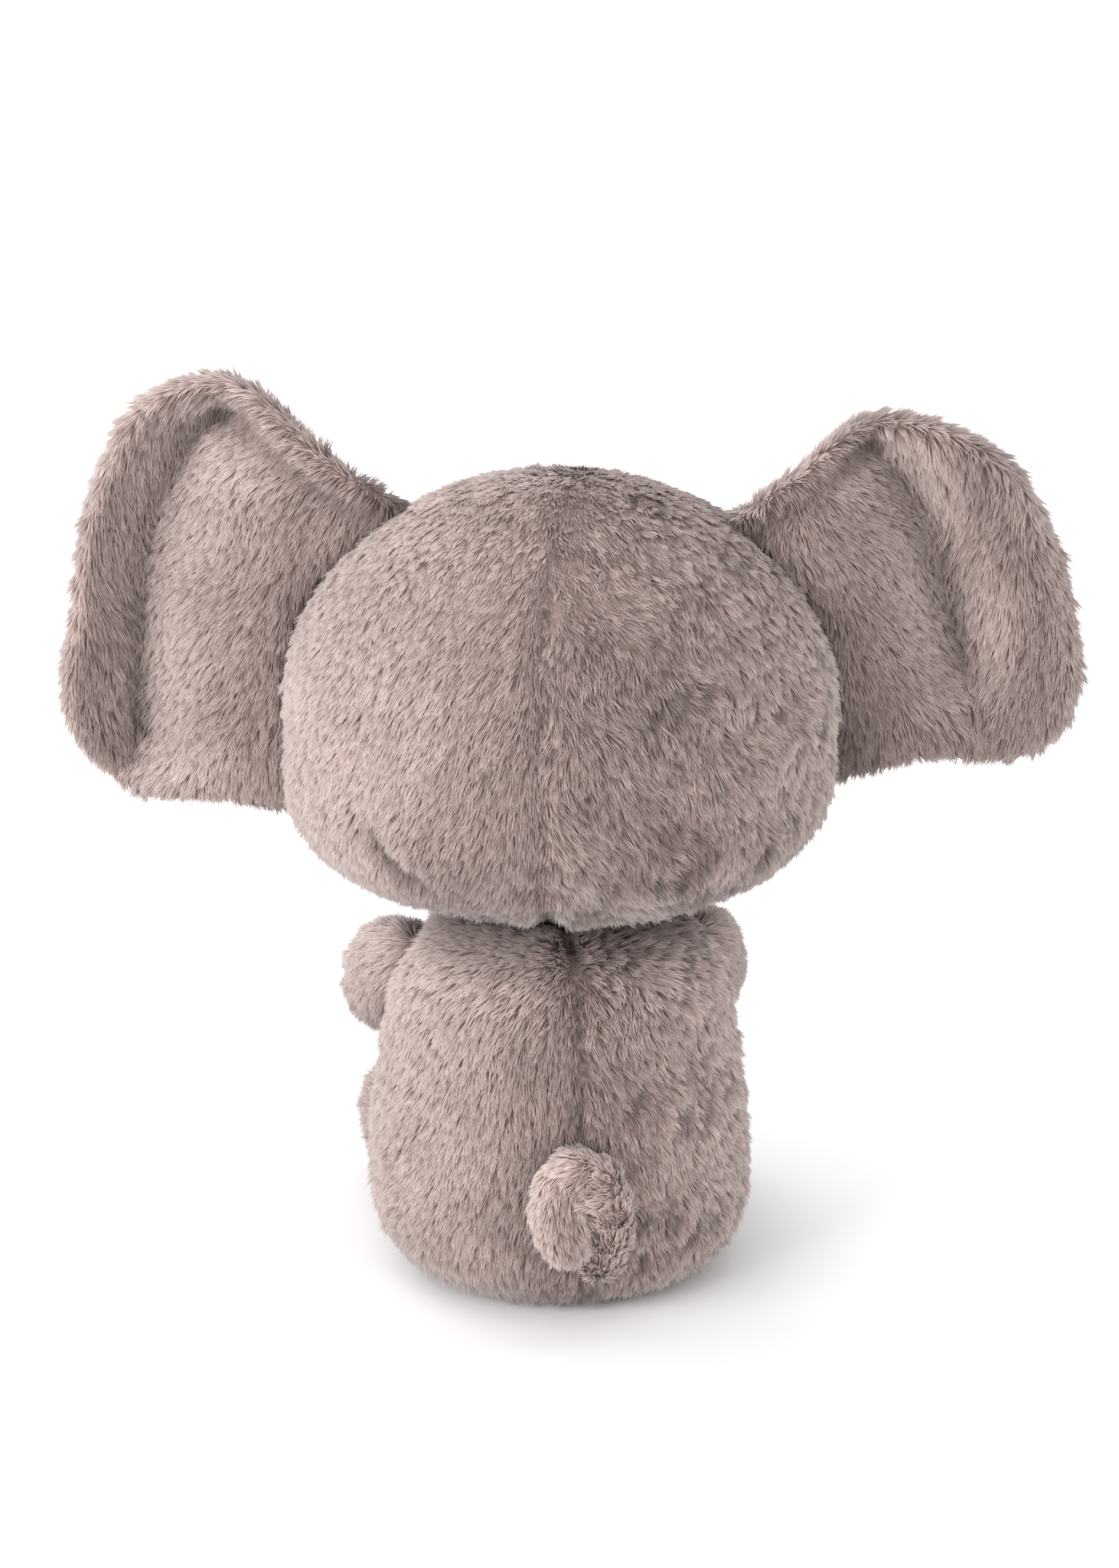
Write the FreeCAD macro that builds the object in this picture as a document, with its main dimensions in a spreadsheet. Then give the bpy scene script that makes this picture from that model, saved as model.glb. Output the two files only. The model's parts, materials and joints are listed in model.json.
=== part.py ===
import FreeCAD, Part
import Sketcher
import math
import os
import re

# A seated stuffed elephant. +Z is up, it faces -Y, and +X is the elephant's own left.
# The origin is the middle of the seat, on the surface it sits on.

doc = FreeCAD.newDocument("StuffedElephant")
sheet = doc.addObject("Spreadsheet::Sheet", "Sizes")
workings = doc.addObject("Spreadsheet::Sheet", "Workings")

dimensions = {
    # cloth, filling and the play between pieces
    "cover_wall": 3.0,
    "filling_gap": 0.3,
    "seam_gap": 0.4,
    "joint_gap": 0.9,
    # torso
    "torso_rise": 108.0,
    "torso_base_radius": 59.0,
    "torso_top_radius": 51.0,
    "torso_shoulder_round": 22.0,
    "torso_seat_round": 25.0,
    "belly_line": 26.0,
    "seat_panel_rise": 6.0,
    "pellet_bag_radius": 29.0,
    "pellet_bag_rise": 14.0,
    "pellet_bag_back_offset": 5.0,
    # neck: a plug of filling and the gathering thread round it
    "neck_plug_radius": 10.0,
    "neck_thread_radius": 14.0,
    "neck_thread_thickness": 0.8,
    "neck_slack": 4.0,
    # head: a dome above, fuller cheeks below
    "head_turn": 12.0,
    "head_back_offset": 4.0,
    "dome_half_width": 84.0,
    "dome_half_depth": 71.0,
    "dome_half_rise": 73.0,
    "dome_above_cheeks": 19.0,
    "dome_cut_latitude": 20.0,
    "cheek_half_width": 83.0,
    "cheek_half_depth": 70.0,
    "cheek_half_rise": 47.0,
    "forehead_width": 46.0,
    "forehead_tip_depth": 34.0,
    # eyes
    "eye_radius": 7.0,
    "eye_bulge": 4.5,
    "eye_side": 33.0,
    "eye_above_cheeks": 10.0,
    "eye_stem_radius": 2.0,
    "eye_stem_length": 9.0,
    "eye_washer_radius": 6.5,
    "eye_washer_thickness": 1.5,
    "eye_seat_gap": 0.8,
    "eye_stem_play": 0.1,
    # trunk
    "trunk_drop": 7.0,
    "trunk_stand_out": 5.0,
    "trunk_root_radius": 18.0,
    "trunk_tip_radius": 14.0,
    "trunk_lean": 42.0,
    "trunk_straight": 17.0,
    "trunk_bend_radius": 24.0,
    "trunk_bend_angle": 70.0,
    # arms
    "arm_half_length": 32.0,
    "arm_half_width": 16.0,
    "arm_half_thickness": 12.5,
    "arm_overlap": 6.0,
    "shoulder_inset": 8.0,
    "shoulder_reach": 10.0,
    "shoulder_drop": 10.0,
    "arm_dip": 34.0,
    "arm_splay": 15.0,
    "paw_pad_depth": 12.0,
    # legs
    "leg_radius": 21.0,
    "leg_length": 62.0,
    "foot_round": 9.0,
    "hip_flat": 0.3,
    "hip_side": 33.0,
    "hip_reach": 22.0,
    "leg_floor_gap": 0.7,
    "leg_splay": 1.0,
    "leg_lift": 16.0,
    "sole_pad_radius": 12.5,
    "sole_pad_depth": 4.5,
    # tail
    "tail_half_length": 19.0,
    "tail_half_width": 14.5,
    "tail_half_thickness": 9.0,
    "tail_middle_rise": 40.0,
    # ears: three layers on edge, the pile back to the rear
    "ear_sweep": 14.0,
    "ear_depth_offset": 9.0,
    "ear_back_thickness": 3.8,
    "ear_lining_thickness": 3.0,
    "ear_wadding_thickness": 2.6,
    "ear_edge_round": 2.4,
    "ear_wadding_inset": 4.0,
    "ear_root_gap": 1.4,
    "ear_root_round": 6.0,
    # ear outlines: rounded corners, each a side distance, a height above the dome's middle and a radius
    "left_top_side": 105.0,
    "left_top_rise": 62.0,
    "left_top_round": 32.0,
    "left_low_side": 119.0,
    "left_low_rise": -3.0,
    "left_low_round": 36.0,
    "left_root_top_side": 54.0,
    "left_root_top_rise": 53.0,
    "left_root_low_side": 80.0,
    "left_root_low_rise": -32.0,
    "right_top_side": 100.0,
    "right_top_rise": 48.0,
    "right_top_round": 38.0,
    "right_low_side": 130.0,
    "right_low_rise": 7.0,
    "right_low_round": 25.0,
    "right_root_top_side": 52.0,
    "right_root_top_rise": 51.0,
    "right_root_low_side": 86.0,
    "right_root_low_rise": -15.0,
}

for row, (alias, amount) in enumerate(dimensions.items(), start=1):
    sheet.set(f"A{row}", str(amount))
    sheet.setAlias(f"A{row}", alias)
doc.recompute()

aliasPattern = re.compile(r"\b(" + "|".join(dimensions) + r")\b")
leftAndRight = (("left", 1), ("right", -1))
nodes = []

# heights and placements that several pieces share
cheekRise = "(torso_rise + neck_slack + cheek_half_rise)"
domeRise = f"({cheekRise} + dome_above_cheeks)"
neckRise = "(torso_rise + neck_slack / 2)"
headTurned = "placement(vector(0; 0; 0); rotation(vector(0; 0; 1); -head_turn))"


def fromSheet(expression):
    return aliasPattern.sub(r"Sizes.\1", str(expression))


def value(expression):
    """The number that an expression of sheet names comes to now."""
    workings.set("A1", f"={fromSheet(expression)}")
    workings.recompute()
    return float(workings.get("A1"))


def bind(thing, prop, expression):
    thing.setExpression(prop, fromSheet(expression))


def rotation(axis, angle):
    return f"rotation(vector({axis}); {angle})"


def placement(x, y, z, turns=rotation("0; 0; 1", 0)):
    return f"placement(vector({x}; {y}; {z}); {turns})"


def place(thing, expression):
    bind(thing, "Placement", expression)
    return thing


def primitive(kind, name, sizes):
    thing = doc.addObject(f"Part::{kind}", name)
    for prop, expression in sizes.items():
        bind(thing, prop, expression)
    return thing


def ellipsoid(name, halfX, halfY, halfZ):
    return primitive("Ellipsoid", name, {"Radius1": halfZ, "Radius2": halfX, "Radius3": halfY})


def sphere(name, radius):
    return primitive("Sphere", name, {"Radius": radius})


def cylinder(name, radius, height):
    return primitive("Cylinder", name, {"Radius": radius, "Height": height})


def box(name, low, high):
    sides = zip(("Length", "Width", "Height"), low, high)
    thing = primitive("Box", name, {side: f"({top}) - ({bottom})" for side, bottom, top in sides})
    return place(thing, placement(*low))


def combine(kind, name, base, tool):
    thing = doc.addObject(f"Part::{kind}", name)
    thing.Base = base
    thing.Tool = tool
    return thing


def fuseAll(name, shapes):
    thing = doc.addObject("Part::MultiFuse", name)
    thing.Shapes = shapes
    return thing


def node(label, thing, where=None):
    """Name a finished piece, and give it the placement of the group it belongs to."""
    thing.Label = label
    if where:
        place(thing, where)
    nodes.append(thing)


def originPlane(body, role):
    return next(feature for feature in body.Origin.OriginFeatures if feature.Role == role)


def outlineSketch(body, role):
    sketch = body.newObject("Sketcher::SketchObject", f"{body.Name}Outline")
    sketch.AttachmentSupport = (originPlane(body, role), [""])
    sketch.MapMode = "FlatFace"
    return sketch


def fix(sketch, kind, index, point, name, expression):
    """Dimension one point of the sketch from its origin, or one arc's radius, by name."""
    if kind == "Radius":
        number = sketch.addConstraint(Sketcher.Constraint(kind, index, value(expression)))
    else:
        number = sketch.addConstraint(Sketcher.Constraint(kind, -1, 1, index, point, value(expression)))
    sketch.renameConstraint(number, name)
    bind(sketch, f"Constraints.{name}", expression)


def turnedBody(name, outline, rounds):
    """Turn a closed outline of (radius, height) corners about Z, then round the numbered corners."""
    body = doc.addObject("PartDesign::Body", name)
    sketch = outlineSketch(body, "XZ_Plane")
    corners = [FreeCAD.Vector(value(radius), value(rise), 0) for radius, rise in outline]
    count = len(corners)
    for index, corner in enumerate(corners):
        sketch.addGeometry(Part.LineSegment(corner, corners[(index + 1) % count]))
    for index in range(count):
        sketch.addConstraint(Sketcher.Constraint("Coincident", index, 2, (index + 1) % count, 1))
    for index, (radius, rise) in enumerate(outline):
        if radius == "0":
            sketch.addConstraint(Sketcher.Constraint("PointOnObject", index, 1, -2))
        else:
            fix(sketch, "DistanceX", index, 1, f"radius{index}", radius)
        fix(sketch, "DistanceY", index, 1, f"rise{index}", rise)
    solid = body.newObject("PartDesign::Revolution", f"{name}Turned")
    solid.Profile = sketch
    solid.ReferenceAxis = (sketch, ["V_Axis"])
    solid.Angle = 360
    doc.recompute()
    for index, radius in rounds.items():
        edges = [
            f"Edge{number}" for number, edge in enumerate(solid.Shape.Edges, start=1)
            if isinstance(edge.Curve, Part.Circle)
            and abs(edge.Curve.Center.z - corners[index].y) < 1e-4
            and abs(edge.Curve.Radius - corners[index].x) < 1e-4
        ]
        rounded = body.newObject("PartDesign::Fillet", f"{name}Round{index}")
        rounded.Base = (solid, edges)
        bind(rounded, "Radius", radius)
        doc.recompute()
        solid = rounded
    return body


# Torso: a round barrel, open over the roots of the legs and arms

def torsoSolid(name, inset):
    outline = [
        ("0", inset),
        (f"torso_base_radius - ({inset})", inset),
        (f"torso_top_radius - ({inset})", f"torso_rise - ({inset})"),
        ("0", f"torso_rise - ({inset})"),
    ]
    rounds = {1: f"torso_seat_round - ({inset})", 2: f"torso_shoulder_round - ({inset})"}
    return turnedBody(name, outline, rounds)


def torsoRadius(rise):
    return f"(torso_base_radius - (torso_base_radius - torso_top_radius) * ({rise}) / torso_rise)"


def armPlacement(sign):
    side = f"{sign} * (torso_top_radius - shoulder_inset)"
    turns = rotation("0; 0; 1", f"{sign} * arm_splay") + " * " + rotation("1; 0; 0", "90 + arm_dip")
    return placement(side, "-shoulder_reach", "torso_rise - shoulder_drop", turns)


def legPlacement(sign, lift="0"):
    turns = rotation("0; 0; 1", f"{sign} * leg_splay") + " * " + rotation("1; 0; 0", f"90 - {lift}")
    return placement(f"{sign} * hip_side", "-hip_reach", "leg_radius + leg_floor_gap", turns)


armMiddle = placement(0, 0, "arm_half_length - arm_overlap")


def armSolid(name, inset):
    thing = ellipsoid(
        name,
        f"arm_half_thickness - ({inset})",
        f"arm_half_width - ({inset})",
        f"arm_half_length - ({inset})",
    )
    return place(thing, armMiddle)


def legSolid(name, inset):
    outline = [
        ("0", f"({inset}) - leg_radius"),
        (f"leg_radius - ({inset})", f"({inset}) - leg_radius"),
        (f"leg_radius - ({inset})", f"leg_length - ({inset})"),
        ("0", f"leg_length - ({inset})"),
    ]
    rounds = {1: f"leg_radius - ({inset}) - hip_flat", 2: f"foot_round - ({inset})"}
    return turnedBody(name, outline, rounds)


def limbDents():
    """The room that the legs, the lifted legs and the arms take out of the torso."""
    dents = [place(sphere("NeckSocket", "neck_plug_radius + joint_gap"), placement(0, 0, neckRise))]
    for hand, sign in leftAndRight:
        for pose, lift in (("Down", "0"), ("Up", "leg_lift")):
            room = cylinder(f"{hand}Leg{pose}Room", "leg_radius + joint_gap", "leg_length")
            dents.append(place(room, legPlacement(sign, lift)))
        hip = sphere(f"{hand}HipRoom", "leg_radius + joint_gap")
        dents.append(place(hip, legPlacement(sign)))
        arm = ellipsoid(
            f"{hand}ArmRoom",
            "arm_half_thickness + joint_gap",
            "arm_half_width + joint_gap",
            "arm_half_length + joint_gap",
        )
        lifted = f"{armPlacement(sign)} * {placement(0, 0, 'arm_half_length - arm_overlap')}"
        dents.append(place(arm, lifted))
        shoulder = sphere(f"{hand}ShoulderRoom", "arm_half_thickness / 2 + joint_gap")
        dents.append(place(shoulder, armPlacement(sign)))
    return fuseAll("LimbDents", dents)


def makeTorso():
    outer = torsoSolid("TorsoOuter", "0")
    inner = torsoSolid("TorsoInner", "cover_wall")
    core = torsoSolid("TorsoCore", "cover_wall + filling_gap")
    dents = limbDents()
    shell = combine("Cut", "TorsoShell", outer, inner)
    cover = combine("Cut", "TorsoCover", shell, dents)
    wide = "torso_base_radius * 2"
    high = "torso_rise * 2"
    half = "seam_gap / 2"
    belly = "-belly_line"
    sections = {
        "torso_back_left": ((half, f"{belly} + {half}", "seat_panel_rise"), (wide, wide, high)),
        "torso_back_right": ((f"-{wide}", f"{belly} + {half}", "seat_panel_rise"), (f"-{half}", wide, high)),
        "torso_belly": ((f"-{wide}", f"-{wide}", "seat_panel_rise"), (wide, f"{belly} - {half}", high)),
        "torso_seat": ((f"-{wide}", f"-{wide}", f"-{wide}"), (wide, wide, "seat_panel_rise - seam_gap")),
    }
    for label, (near, far) in sections.items():
        node(label, combine("Common", f"{label}_panel", cover, box(f"{label}_box", near, far)))
    bag = cylinder("PelletBag", "pellet_bag_radius", "pellet_bag_rise")
    bagAt = placement(0, "pellet_bag_back_offset", "cover_wall + filling_gap * 2")
    place(bag, bagAt)
    bagRoom = cylinder(
        "PelletBagRoom", "pellet_bag_radius + filling_gap", "pellet_bag_rise + cover_wall + filling_gap * 3")
    place(bagRoom, placement(0, "pellet_bag_back_offset", 0))
    bagTrimmed = combine("Cut", "PelletBagTrimmed", bag, dents)
    node("pellet_bag", bagTrimmed)
    filling = combine("Cut", "TorsoFillingDented", core, dents)
    node("torso_filling", combine("Cut", "TorsoFilling", filling, bagRoom))


# Arms: flat ovals with a bare pad on the tip

def makeArm(hand, sign):
    name = f"{hand}Arm"
    shell = combine("Cut", f"{name}Shell", armSolid(f"{name}Outer", "0"), armSolid(f"{name}Inner", "cover_wall"))
    tip = "arm_half_length * 2 - arm_overlap"
    wide = "arm_half_width * 2"
    padLine = f"{tip} - paw_pad_depth"
    sleeve = box(f"{name}SleeveBox", (f"-{wide}", f"-{wide}", f"-{wide}"), (wide, wide, f"{padLine} - seam_gap"))
    pad = box(f"{name}PadBox", (f"-{wide}", f"-{wide}", padLine), (wide, wide, f"{tip} + {wide}"))
    where = armPlacement(sign)
    node(f"arm_{hand}_cover", combine("Common", f"{name}Sleeve", shell, sleeve), where)
    node(f"arm_{hand}_paw_pad", combine("Common", f"{name}Pad", shell, pad), where)
    filling = armSolid(f"{name}Filling", "cover_wall + filling_gap")
    node(f"arm_{hand}_filling", filling, f"{where} * {armMiddle}")


# Legs: stout cylinders with a round hip and a bare sole

def makeLeg(hand, sign):
    name = f"{hand}Leg"
    shell = combine("Cut", f"{name}Shell", legSolid(f"{name}Outer", "0"), legSolid(f"{name}Inner", "cover_wall"))
    soleLine = placement(0, 0, "leg_length - sole_pad_depth")
    soleRoom = place(cylinder(f"{name}SoleRoom", "sole_pad_radius + seam_gap", "sole_pad_depth * 2"), soleLine)
    sole = place(cylinder(f"{name}SoleDisc", "sole_pad_radius", "sole_pad_depth * 2"), soleLine)
    where = legPlacement(sign)
    node(f"leg_{hand}_cover", combine("Cut", f"{name}Cover", shell, soleRoom), where)
    node(f"leg_{hand}_sole_pad", combine("Common", f"{name}Sole", shell, sole), where)
    node(f"leg_{hand}_filling", legSolid(f"{name}Core", "cover_wall + filling_gap"), where)


# Tail: a short stuffed tab lying against the back

def tailSolid(name, inset):
    return ellipsoid(
        name,
        f"tail_half_width - ({inset})",
        f"tail_half_thickness - ({inset})",
        f"tail_half_length - ({inset})",
    )


def makeTail():
    slope = "atan((torso_base_radius - torso_top_radius) / torso_rise)"
    reach = f"{torsoRadius('tail_middle_rise')} + tail_half_thickness + joint_gap"
    where = placement(0, reach, "tail_middle_rise", rotation("1; 0; 0", slope))
    outer = tailSolid("TailOuter", "0")
    node("tail_cover", combine("Cut", "TailCover", outer, tailSolid("TailInner", "cover_wall")), where)
    node("tail_filling", tailSolid("TailFilling", "cover_wall + filling_gap"), where)


# Neck

def makeNeck():
    plug = sphere("NeckPlug", "neck_plug_radius")
    node("neck_filling", plug, placement(0, 0, neckRise))
    thread = primitive("Torus", "NeckThread", {
        "Radius1": "neck_thread_radius", "Radius2": "neck_thread_thickness"})
    node("neck_thread", thread, placement(0, 0, "torso_rise + neck_thread_thickness + filling_gap"))


# Head

def headSolid(name, inset):
    dome = ellipsoid(
        f"{name}Dome",
        f"dome_half_width - ({inset})",
        f"dome_half_depth - ({inset})",
        f"dome_half_rise - ({inset})",
    )
    bind(dome, "Angle1", "-dome_cut_latitude")
    place(dome, placement(0, "-head_back_offset", domeRise))
    cheeks = ellipsoid(
        f"{name}Cheeks",
        f"cheek_half_width - ({inset})",
        f"cheek_half_depth - ({inset})",
        f"cheek_half_rise - ({inset})",
    )
    place(cheeks, placement(0, "-head_back_offset", cheekRise))
    return combine("Fuse", name, dome, cheeks)


def trunkRoot():
    reach = "-(head_back_offset + cheek_half_depth + trunk_stand_out)"
    return placement(0, reach, f"{cheekRise} - trunk_drop", rotation("1; 0; 0", "180 - trunk_lean"))


def eyePlacement(sign):
    """On the dome's surface, with the local Z axis out of the face."""
    up = "(eye_above_cheeks - dome_above_cheeks)"
    share = f"sqrt(1 - (eye_side / dome_half_width)^2 - ({up} / dome_half_rise)^2)"
    reach = f"(dome_half_depth * {share})"
    yaw = f"atan(eye_side / dome_half_width^2 * dome_half_depth^2 / {reach})"
    turns = rotation("0; 0; 1", f"{sign} * {yaw}") + " * " + rotation("1; 0; 0", "90")
    return placement(f"{sign} * eye_side", f"-(head_back_offset + {reach})", f"{domeRise} + {up}", turns)


def makeEye(hand, sign):
    name = f"{hand}Eye"
    bulge = ellipsoid(f"{name}Bulge", "eye_radius", "eye_radius", "eye_bulge")
    bind(bulge, "Angle1", "0")
    place(bulge, placement(0, 0, "eye_seat_gap"))
    stem = place(cylinder(f"{name}Stem", "eye_stem_radius", "eye_stem_length + eye_seat_gap"),
                 placement(0, 0, "-eye_stem_length"))
    where = f"{headTurned} * {eyePlacement(sign)}"
    node(f"eye_{hand}", combine("Fuse", f"{name}Solid", bulge, stem), where)
    washerAt = placement(0, 0, "-(cover_wall + filling_gap * 4 + eye_washer_thickness)")
    disc = place(cylinder(f"{name}Disc", "eye_washer_radius", "eye_washer_thickness"), washerAt)
    bore = place(cylinder(f"{name}Bore", "eye_stem_radius + eye_stem_play", "eye_washer_thickness"), washerAt)
    node(f"eye_{hand}_washer", combine("Cut", f"{name}Washer", disc, bore), where)


def eyeRooms(hand, sign):
    """The stem's hole through the cover, and the pocket for stem and washer in the filling."""
    stem = cylinder(f"{hand}StemRoom", "eye_stem_radius + filling_gap", "eye_stem_length * 2")
    place(stem, f"{eyePlacement(sign)} * {placement(0, 0, '-eye_stem_length - filling_gap')}")
    depth = "(cover_wall + filling_gap * 5 + eye_washer_thickness)"
    pocket = cylinder(f"{hand}WasherRoom", "eye_washer_radius + filling_gap", f"{depth} * 2")
    place(pocket, f"{eyePlacement(sign)} * {placement(0, 0, f'-{depth}')}")
    return stem, pocket


def makeHead():
    shell = combine("Cut", "HeadShell", headSolid("HeadOuter", "0"), headSolid("HeadInner", "cover_wall"))
    neckRoom = place(sphere("HeadNeckRoom", "neck_plug_radius + joint_gap"), placement(0, 0, neckRise))
    trunkRoom = place(sphere("TrunkRoom", "trunk_root_radius + joint_gap"), trunkRoot())
    stems = []
    pockets = []
    for hand, sign in leftAndRight:
        stem, pocket = eyeRooms(hand, sign)
        stems.append(stem)
        pockets.append(pocket)
    cover = combine("Cut", "HeadCover", shell, fuseAll("CoverOpenings", [neckRoom, trunkRoom, *stems]))
    wide = "dome_half_width * 2"
    high = "dome_half_rise * 4"
    half = "seam_gap / 2"
    strip = f"forehead_width / 2 - {half}"
    mouth = f"{cheekRise} - trunk_drop"
    gusset = box("ForeheadBox", (f"-({strip})", f"-{wide}", mouth), (strip, "forehead_tip_depth", high))
    gussetRoom = box(
        "ForeheadRoom",
        (f"-({strip} + seam_gap)", f"-{wide}", f"{mouth} - seam_gap"),
        (f"{strip} + seam_gap", "forehead_tip_depth + seam_gap", high),
    )
    node("head_forehead", combine("Common", "Forehead", cover, gusset), headTurned)
    sides = combine("Cut", "HeadSides", cover, gussetRoom)
    back = "-head_back_offset"
    for hand, sign in leftAndRight:
        near, far = (half, wide) if sign > 0 else (f"-{wide}", f"-{half}")
        rear = box(f"{hand}RearBox", (near, f"{back} + {half}", 0), (far, wide, high))
        front = box(f"{hand}FrontBox", (near, f"-{wide}", 0), (far, f"{back} - {half}", high))
        node(f"head_back_{hand}", combine("Common", f"{hand}HeadBack", sides, rear), headTurned)
        node(f"head_cheek_{hand}", combine("Common", f"{hand}Cheek", sides, front), headTurned)
    fillingRooms = fuseAll("FillingOpenings", [neckRoom, trunkRoom, *stems, *pockets])
    core = headSolid("HeadCore", "cover_wall + filling_gap")
    node("head_filling", combine("Cut", "HeadFilling", core, fillingRooms), headTurned)


# Trunk: a ball root, a tapered stretch and a bend that ends in a round tip

def trunkSolid(name, inset):
    root = sphere(f"{name}Root", f"trunk_root_radius - ({inset})")
    taper = primitive("Cone", f"{name}Taper", {
        "Radius1": f"trunk_root_radius - ({inset})",
        "Radius2": f"trunk_tip_radius - ({inset})",
        "Height": "trunk_straight",
    })
    bend = primitive("Torus", f"{name}Bend", {
        "Radius1": "trunk_bend_radius",
        "Radius2": f"trunk_tip_radius - ({inset})",
        "Angle3": "trunk_bend_angle",
    })
    bendTurns = rotation("0; 0; 1", 90) + " * " + rotation("1; 0; 0", 90)
    place(bend, placement(0, "-trunk_bend_radius", "trunk_straight", bendTurns))
    tip = sphere(f"{name}Tip", f"trunk_tip_radius - ({inset})")
    along = "trunk_bend_radius * cos(trunk_bend_angle)"
    out = "trunk_straight + trunk_bend_radius * sin(trunk_bend_angle)"
    place(tip, placement(0, f"{along} - trunk_bend_radius", out))
    return fuseAll(name, [root, taper, bend, tip])


def makeTrunk():
    where = f"{headTurned} * {trunkRoot()}"
    outer = trunkSolid("TrunkOuter", "0")
    node("trunk_cover", combine("Cut", "TrunkCover", outer, trunkSolid("TrunkInner", "cover_wall")), where)
    node("trunk_filling", trunkSolid("TrunkFilling", "cover_wall + filling_gap"), where)


# Ears: each a rounded four-cornered outline in three layers, cut to lie against the head

def earCorners(hand, inset):
    """The outline's corners in order round it: side, height and radius, as expressions."""
    middle = f"({hand}_root_top_side + {hand}_root_low_side) / 2"
    names = ("root_low", "low", "top", "root_top")
    corners = []
    for corner in names:
        radius = "ear_root_round" if "root" in corner else f"{hand}_{corner}_round"
        side = f"{hand}_{corner}_side - {middle}"
        corners.append((side, f"{hand}_{corner}_rise", f"{radius} - ({inset})"))
    return corners


def earPlacement(hand, sign):
    middle = f"({hand}_root_top_side + {hand}_root_low_side) / 2"
    sweep = rotation("0; 0; 1", f"-{sign} * ear_sweep")
    return placement(f"{sign} * {middle}", "-head_back_offset - ear_depth_offset", domeRise, sweep)


def earLayer(name, hand, sign, inset, low, high, roundSide):
    """Pad the ear's outline between two depths, and round the rim on one side of it."""
    body = doc.addObject("PartDesign::Body", name)
    sketch = outlineSketch(body, "XZ_Plane")
    corners = earCorners(hand, inset)
    centres = [FreeCAD.Vector(sign * value(side), value(rise), 0) for side, rise, radius in corners]
    radii = [value(radius) for side, rise, radius in corners]
    if sign < 0:
        order = [3, 2, 1, 0]
    else:
        order = [0, 1, 2, 3]
    normals = []
    for number, index in enumerate(order):
        following = order[(number + 1) % 4]
        step = centres[following] - centres[index]
        lean = (radii[index] - radii[following]) / step.Length
        ahead = step.normalize()
        right = FreeCAD.Vector(ahead.y, -ahead.x, 0)
        normals.append(ahead * lean + right * math.sqrt(1 - lean * lean))
    for number, index in enumerate(order):
        before = normals[number - 1]
        after = normals[number]
        first = math.atan2(before.y, before.x)
        last = math.atan2(after.y, after.x)
        rim = Part.Circle(centres[index], FreeCAD.Vector(0, 0, 1), radii[index])
        sketch.addGeometry(Part.ArcOfCircle(rim, first, last))
    for number, index in enumerate(order):
        following = order[(number + 1) % 4]
        start = centres[index] + normals[number] * radii[index]
        end = centres[following] + normals[number] * radii[following]
        sketch.addGeometry(Part.LineSegment(start, end))
    for number in range(4):
        sketch.addConstraint(Sketcher.Constraint("Tangent", number, 2, 4 + number, 1))
        sketch.addConstraint(Sketcher.Constraint("Tangent", 4 + number, 2, (number + 1) % 4, 1))
    for number, index in enumerate(order):
        side, rise, radius = corners[index]
        fix(sketch, "Radius", number, 0, f"round{number}", radius)
        fix(sketch, "DistanceX", number, 3, f"side{number}", f"{sign} * ({side})")
        fix(sketch, "DistanceY", number, 3, f"rise{number}", rise)
    bind(sketch, "AttachmentOffset", placement(0, 0, f"-({high})"))
    layer = body.newObject("PartDesign::Pad", f"{name}Pad")
    layer.Profile = sketch
    bind(layer, "Length", f"({high}) - ({low})")
    doc.recompute()
    if roundSide:
        depth = -value(high) if roundSide == "rear" else -value(low)
        edges = [
            f"Edge{number}" for number, edge in enumerate(layer.Shape.Edges, start=1)
            if abs(edge.BoundBox.YMin + depth) < 1e-4 and abs(edge.BoundBox.YMax + depth) < 1e-4
        ]
        rounded = body.newObject("PartDesign::Fillet", f"{name}Rim")
        rounded.Base = (layer, edges)
        bind(rounded, "Radius", "ear_edge_round")
        doc.recompute()
    place(body, earPlacement(hand, sign))
    return body


def makeEar(hand, sign, headRoom):
    half = "ear_wadding_thickness / 2"
    rear = f"{half} + filling_gap"
    layers = {
        "back": ("0", rear, f"{rear} + ear_back_thickness", "rear"),
        "wadding": ("ear_wadding_inset", f"-{half}", half, None),
        "lining": ("0", f"-({rear} + ear_lining_thickness)", f"-({rear})", "front"),
    }
    for part, (inset, low, high, roundSide) in layers.items():
        name = f"{hand}Ear{part.capitalize()}"
        plate = earLayer(name, hand, sign, inset, low, high, roundSide)
        node(f"ear_{hand}_{part}", combine("Cut", f"{name}Trimmed", plate, headRoom), headTurned)


makeTorso()
makeTail()
makeNeck()
makeHead()
makeTrunk()
earHeadRoom = headSolid("EarHeadRoom", "-ear_root_gap")
for hand, sign in leftAndRight:
    makeEye(hand, sign)
    makeEar(hand, sign, earHeadRoom)
    makeArm(hand, sign)
    makeLeg(hand, sign)
doc.recompute()

for thing in doc.Objects:
    if "Invalid" in thing.State or "Error" in thing.State:
        raise RuntimeError(f"{thing.Name} did not build: {thing.State}")
for thing in nodes:
    if thing.Shape.isNull() or not thing.Shape.isValid():
        raise RuntimeError(f"{thing.Label} has no valid shape")

os.makedirs("parts", exist_ok=True)
for thing in nodes:
    thing.Shape.exportStep(f"parts/{thing.Label}.step")
    shape = thing.Shape
    print(f"{thing.Label}: {len(shape.Solids)} solid, {shape.Volume / 1000:.2f} cm3")
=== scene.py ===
import json
import math

import bpy
import numpy as np
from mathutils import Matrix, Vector
from mathutils.kdtree import KDTree


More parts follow.
